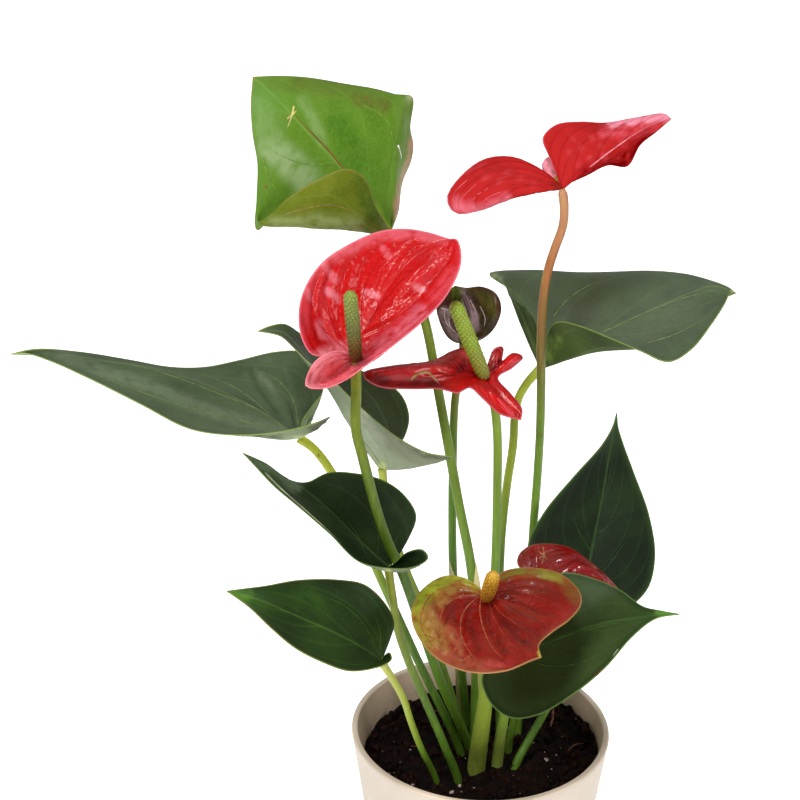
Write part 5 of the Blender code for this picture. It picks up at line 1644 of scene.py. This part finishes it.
def pot_material():
    """Matt cream pot with a fine sprayed speckle and faint turning lines. The inner wall is painted paler, as
    painted light against the shade inside the pot, and is browner in blotches and towards the soil. The rim's
    top is painted paler too, as painted light where it faces up.
    """
    s = Shader("pot_cream", Roughness=0.6)
    place = s.place()
    height = s.node("SeparateXYZ", {0: place}, 2)
    speckle = s.noise(1500, place, 3, 0.7)
    cloud = s.noise(22, place, 4)
    bands = s.noise(1, s.stretched(place, (4, 4, 900)), 2)
    specks = s.cells(95, place, "F1")
    colour = s.blend(s.step(cloud, 0.35, 0.7, 0, 0.4), POT_CREAM, (214, 202, 190))
    colour = s.blend(s.step(speckle, 0.44, 0.60, 0.22, 0), colour, (194, 174, 156))
    colour = s.blend(s.times(s.step(bands, 0.4, 0.7), 0.06), colour, (198, 180, 162))
    colour = s.blend(s.step(specks, 0.035, 0.06, 0.8, 0), colour, (92, 74, 62))
    # The inner wall, where a point is nearer to the axis than the middle of the wall at its height.
    level = s.node("VectorMath", {0: place, 1: (1, 1, 0)}, 0, operation="MULTIPLY")
    across = s.node("VectorMath", {0: level}, "Value", operation="LENGTH")
    wall = s.math("MULTIPLY_ADD", height, (RIM_RADIUS - FOOT_RADIUS) / POT_HEIGHT, FOOT_RADIUS - WALL * 0.6)
    within = s.step(s.math("SUBTRACT", wall, across), -0.0003, 0.0003)
    # The inner wall turns browner in blotches and towards the soil.
    blotches = s.step(s.noise(420, place, 5, 0.7), 0.45, 0.75)
    low = s.step(height, SOIL_HEIGHT - 0.002, POT_HEIGHT - 0.003, 1, 0)
    brown_share = s.times(within, s.plus(s.times(blotches, 0.4), 0.25))
    # Painted light: the inner wall is paler than the outside, to make up for the shade inside the pot.
    colour = s.blend(within, colour, (250, 222, 196))
    colour = s.blend(s.times(brown_share, low), colour, (136, 108, 86))
    # Painted light: the rim's top is paler, where it faces up.
    colour = s.blend(s.step(height, POT_HEIGHT - 0.0009, POT_HEIGHT - 0.0003), colour, RIM_LIT_CREAM)
    s.use("Base Color", colour)
    s.use("Roughness", s.step(speckle, 0.3, 0.7, 0.66, 0.52))
    s.bump(s.plus(speckle, s.times(bands, 0.3)), 0.35, 0.00015)
    return s.material


def soil_material(name, colour, other, light=0):
    """Crumbly earth with lighter and reddish grains."""
    s = Shader(name, Roughness=0.85, Specular_IOR_Level=0.1)
    place = s.place()
    grain = s.noise(1400, place, 5, 0.7)
    earth = s.blend(s.step(s.noise(160, place, 4), 0.35, 0.65), colour, other)
    earth = s.blend(s.step(grain, 0.55, 0.85, 0, 0.25 + light), earth, (110, 66, 48))
    earth = s.blend(s.step(grain, 0.25, 0.45, 0.7, 0), earth, (5, 4, 4))
    s.use("Base Color", earth)
    s.use("Roughness", s.step(grain, 0.3, 0.7, 0.95, 0.7))
    s.bump(grain, 0.7, 0.0006)
    return s.material


def perlite_material():
    """Chalky white grains, a little dirty."""
    s = Shader("perlite", Roughness=0.85)
    grain = s.noise(1100, s.place(), 4, 0.6)
    s.use("Base Color", s.blend(s.step(grain, 0.35, 0.65), (140, 118, 106), PERLITE_WHITE))
    s.bump(grain, 0.6, 0.0004)
    return s.material


def twig_material():
    """Dry brown fibre with fine streaks."""
    s = Shader("twig", Roughness=0.75)
    streaks = s.noise(1, s.stretched(s.place(), (1500, 700, 500)), 4)
    s.use("Base Color", s.blend(s.step(streaks, 0.35, 0.65), (84, 36, 26), (128, 82, 58)))
    s.bump(streaks, 0.6, 0.0002)
    return s.material


def line_material(name, colour):
    """A vein or scar of one colour, mottled along its length."""
    s = Shader(name, Roughness=0.42, Specular_IOR_Level=0.08)
    mottle = s.noise(420, s.place())
    darker = tuple(part * 0.78 for part in colour)
    s.use("Base Color", s.blend(s.step(mottle, 0.35, 0.65), darker, colour))
    s.bump(mottle, 0.3, 0.0001)
    return s.material


def floor_material():
    """Plain white paper floor."""
    s = Shader("floor_paper", Roughness=0.9, Emission_Color=(1, 1, 1, 1), Emission_Strength=FLOOR_GLOW)
    s.use("Base Color", s.blend(s.noise(60, s.place(), 2), WHITE, (250, 250, 250)))
    return s.material


def make_leaves(stalk):
    """The leaf blades and every stalk. Returns the blades by name."""
    blades = {}
    for number, (name, blade) in enumerate(LEAVES.items(), 1):
        made = blades[name] = make_blade(name, blade, LEAF_THICKNESS, False, number)
        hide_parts(name + "_blade")
    for number, (name, run) in enumerate(STALKS.items(), 1):
        carried = {**LEAVES, **SPATHES}[name.rsplit("_", 1)[0]]
        made = make_stalk(name + "_fine", [carried["base"], *run["points"]], run, stalk, number)
        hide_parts(name)
    return blades


def make_flowers(blades, spadix):
    """The spathes, the lines laid on spathes and leaves, the flap and the spadices."""
    for number, (name, blade) in enumerate(SPATHES.items(), 11):
        made = blades[name] = make_blade(name, blade, SPATHE_THICKNESS, True, number)
        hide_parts(name + "_spathe")
    for name, (blade, radius, colour, paths) in LINES.items():
        laid_lines(name, blades[blade], paths, radius, colour)
    flap = line_material("flap_pink", FLAP_LIT_PINK)
    strand("flower_2_flap", outline(SINUS_FLAP), 0.0027, flap, (0, 1, 0), 0.2)
    for name, club in SPADICES.items():
        made = make_spadix(name + "_spadix_fine", club, spadix)
        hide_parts(name + "_spadix")


def make_sheaths(stalk):
    """The dry sheaths between the stalks."""
    for number, (name, run) in enumerate(SHEATHS.items(), 31):
        made = make_stalk(name + "_fine", run["points"], run, stalk, number, pointed=True)
        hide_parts(name)


def make_ground():
    """The soil with its crumbs, white grains, a twig and a few fibres."""
    chance = random.Random(5)
    make_soil(soil_material("soil_dark", SOIL_BROWN, (28, 15, 11)))
    crumbs = soil_material("soil_crumbs", SOIL_BROWN, (44, 22, 16), 0.1)
    materials = {"crumbs": crumbs, "perlite": perlite_material()}
    for name, count, low, high, kind, flatness, inner in GRAINS:
        scatter_grains(name, count, low, high, materials[kind], chance, flatness, inner)
    dry = twig_material()
    for number, (pixels, radius) in enumerate(TWIGS, 1):
        points = [soil_point(x, y) + (0, 0, radius + TWIG_LIFT) for x, y in pixels]
        strand(f"soil_twig_{number}", points, radius, dry)


def put(name, data):
    """A new object in the scene."""
    made = bpy.data.objects.new(name, data)
    bpy.context.scene.collection.objects.link(made)
    return made


def make_floor():
    """The white floor that the pot stands on."""
    work = bmesh.new()
    bmesh.ops.create_grid(work, x_segments=8, y_segments=8, size=FLOOR_SIZE)
    mesh = bpy.data.meshes.new("floor")
    work.to_mesh(mesh)
    work.free()
    mesh.materials.append(floor_material())
    floor = put("floor", mesh)
    floor.location = (0, 0, -FLOOR_DROP)


def make_room():
    """A white room that lights the plant more from the back, and is plain white where it is seen."""
    world = bpy.data.worlds.new("room")
    world.use_nodes = True
    tree = world.node_tree
    way = tree.nodes.new("ShaderNodeTexCoord")
    parts = tree.nodes.new("ShaderNodeSeparateXYZ")
    bright = tree.nodes.new("ShaderNodeMapRange")
    seen = tree.nodes.new("ShaderNodeLightPath")
    strength = tree.nodes.new("ShaderNodeMath")
    background = tree.nodes["Background"]
    span = {"From Min": ROOM_SPAN[0], "From Max": ROOM_SPAN[1], "To Min": ROOM_FRONT, "To Max": ROOM_BACK}
    for socket, value in span.items():
        bright.inputs[socket].default_value = value
    strength.operation = "MAXIMUM"
    background.inputs["Color"].default_value = (1, 1, 1, 1)
    for output, socket in (
            (way.outputs["Generated"], parts.inputs[0]),
            (parts.outputs[1], bright.inputs["Value"]),
            (bright.outputs["Result"], strength.inputs[0]),
            (seen.outputs["Is Camera Ray"], strength.inputs[1]),
            (strength.outputs[0], background.inputs["Strength"])):
        tree.links.new(output, socket)
    return world


def make_camera():
    """A camera where the photograph's was."""
    camera = bpy.data.cameras.new("camera")
    camera.sensor_width = SENSOR_MM
    camera.lens = FOCAL_PIXELS / PICTURE_WIDTH * SENSOR_MM
    made = put("camera", camera)
    made.location = CAMERA_PLACE
    made.rotation_euler = (math.pi / 2 - CAMERA_TILT, 0, 0)
    return made


def make_lamps():
    """Soft lamps above and a broad sun."""
    sun = bpy.data.lights.new("sky_panel", "SUN")
    sun.energy = SUN_STRENGTH
    sun.angle = SUN_ANGLE
    put("sky_panel", sun).rotation_euler = Vector(SUN_WAY).to_track_quat("-Z", "Y").to_euler()
    for name, place, size, power in LAMPS:
        light = bpy.data.lights.new(name, "AREA")
        light.shape = "DISK"
        light.size = size
        light.energy = power
        made = put(name, light)
        made.location = place
        made.rotation_euler = (Vector(LAMP_TARGET) - Vector(place)).to_track_quat("-Z", "Y").to_euler()


def main():
    """Builds the plant, its pot and the lit room."""
    scene = bpy.context.scene
    scene.camera = make_camera()
    scene.world = make_room()
    scene.view_settings.view_transform = "Standard"
    make_lamps()
    make_floor()
    stalk = stalk_material()
    blades = make_leaves(stalk)
    make_flowers(blades, spadix_material())
    make_sheaths(stalk)
    make_pot(pot_material())
    make_ground()


main()
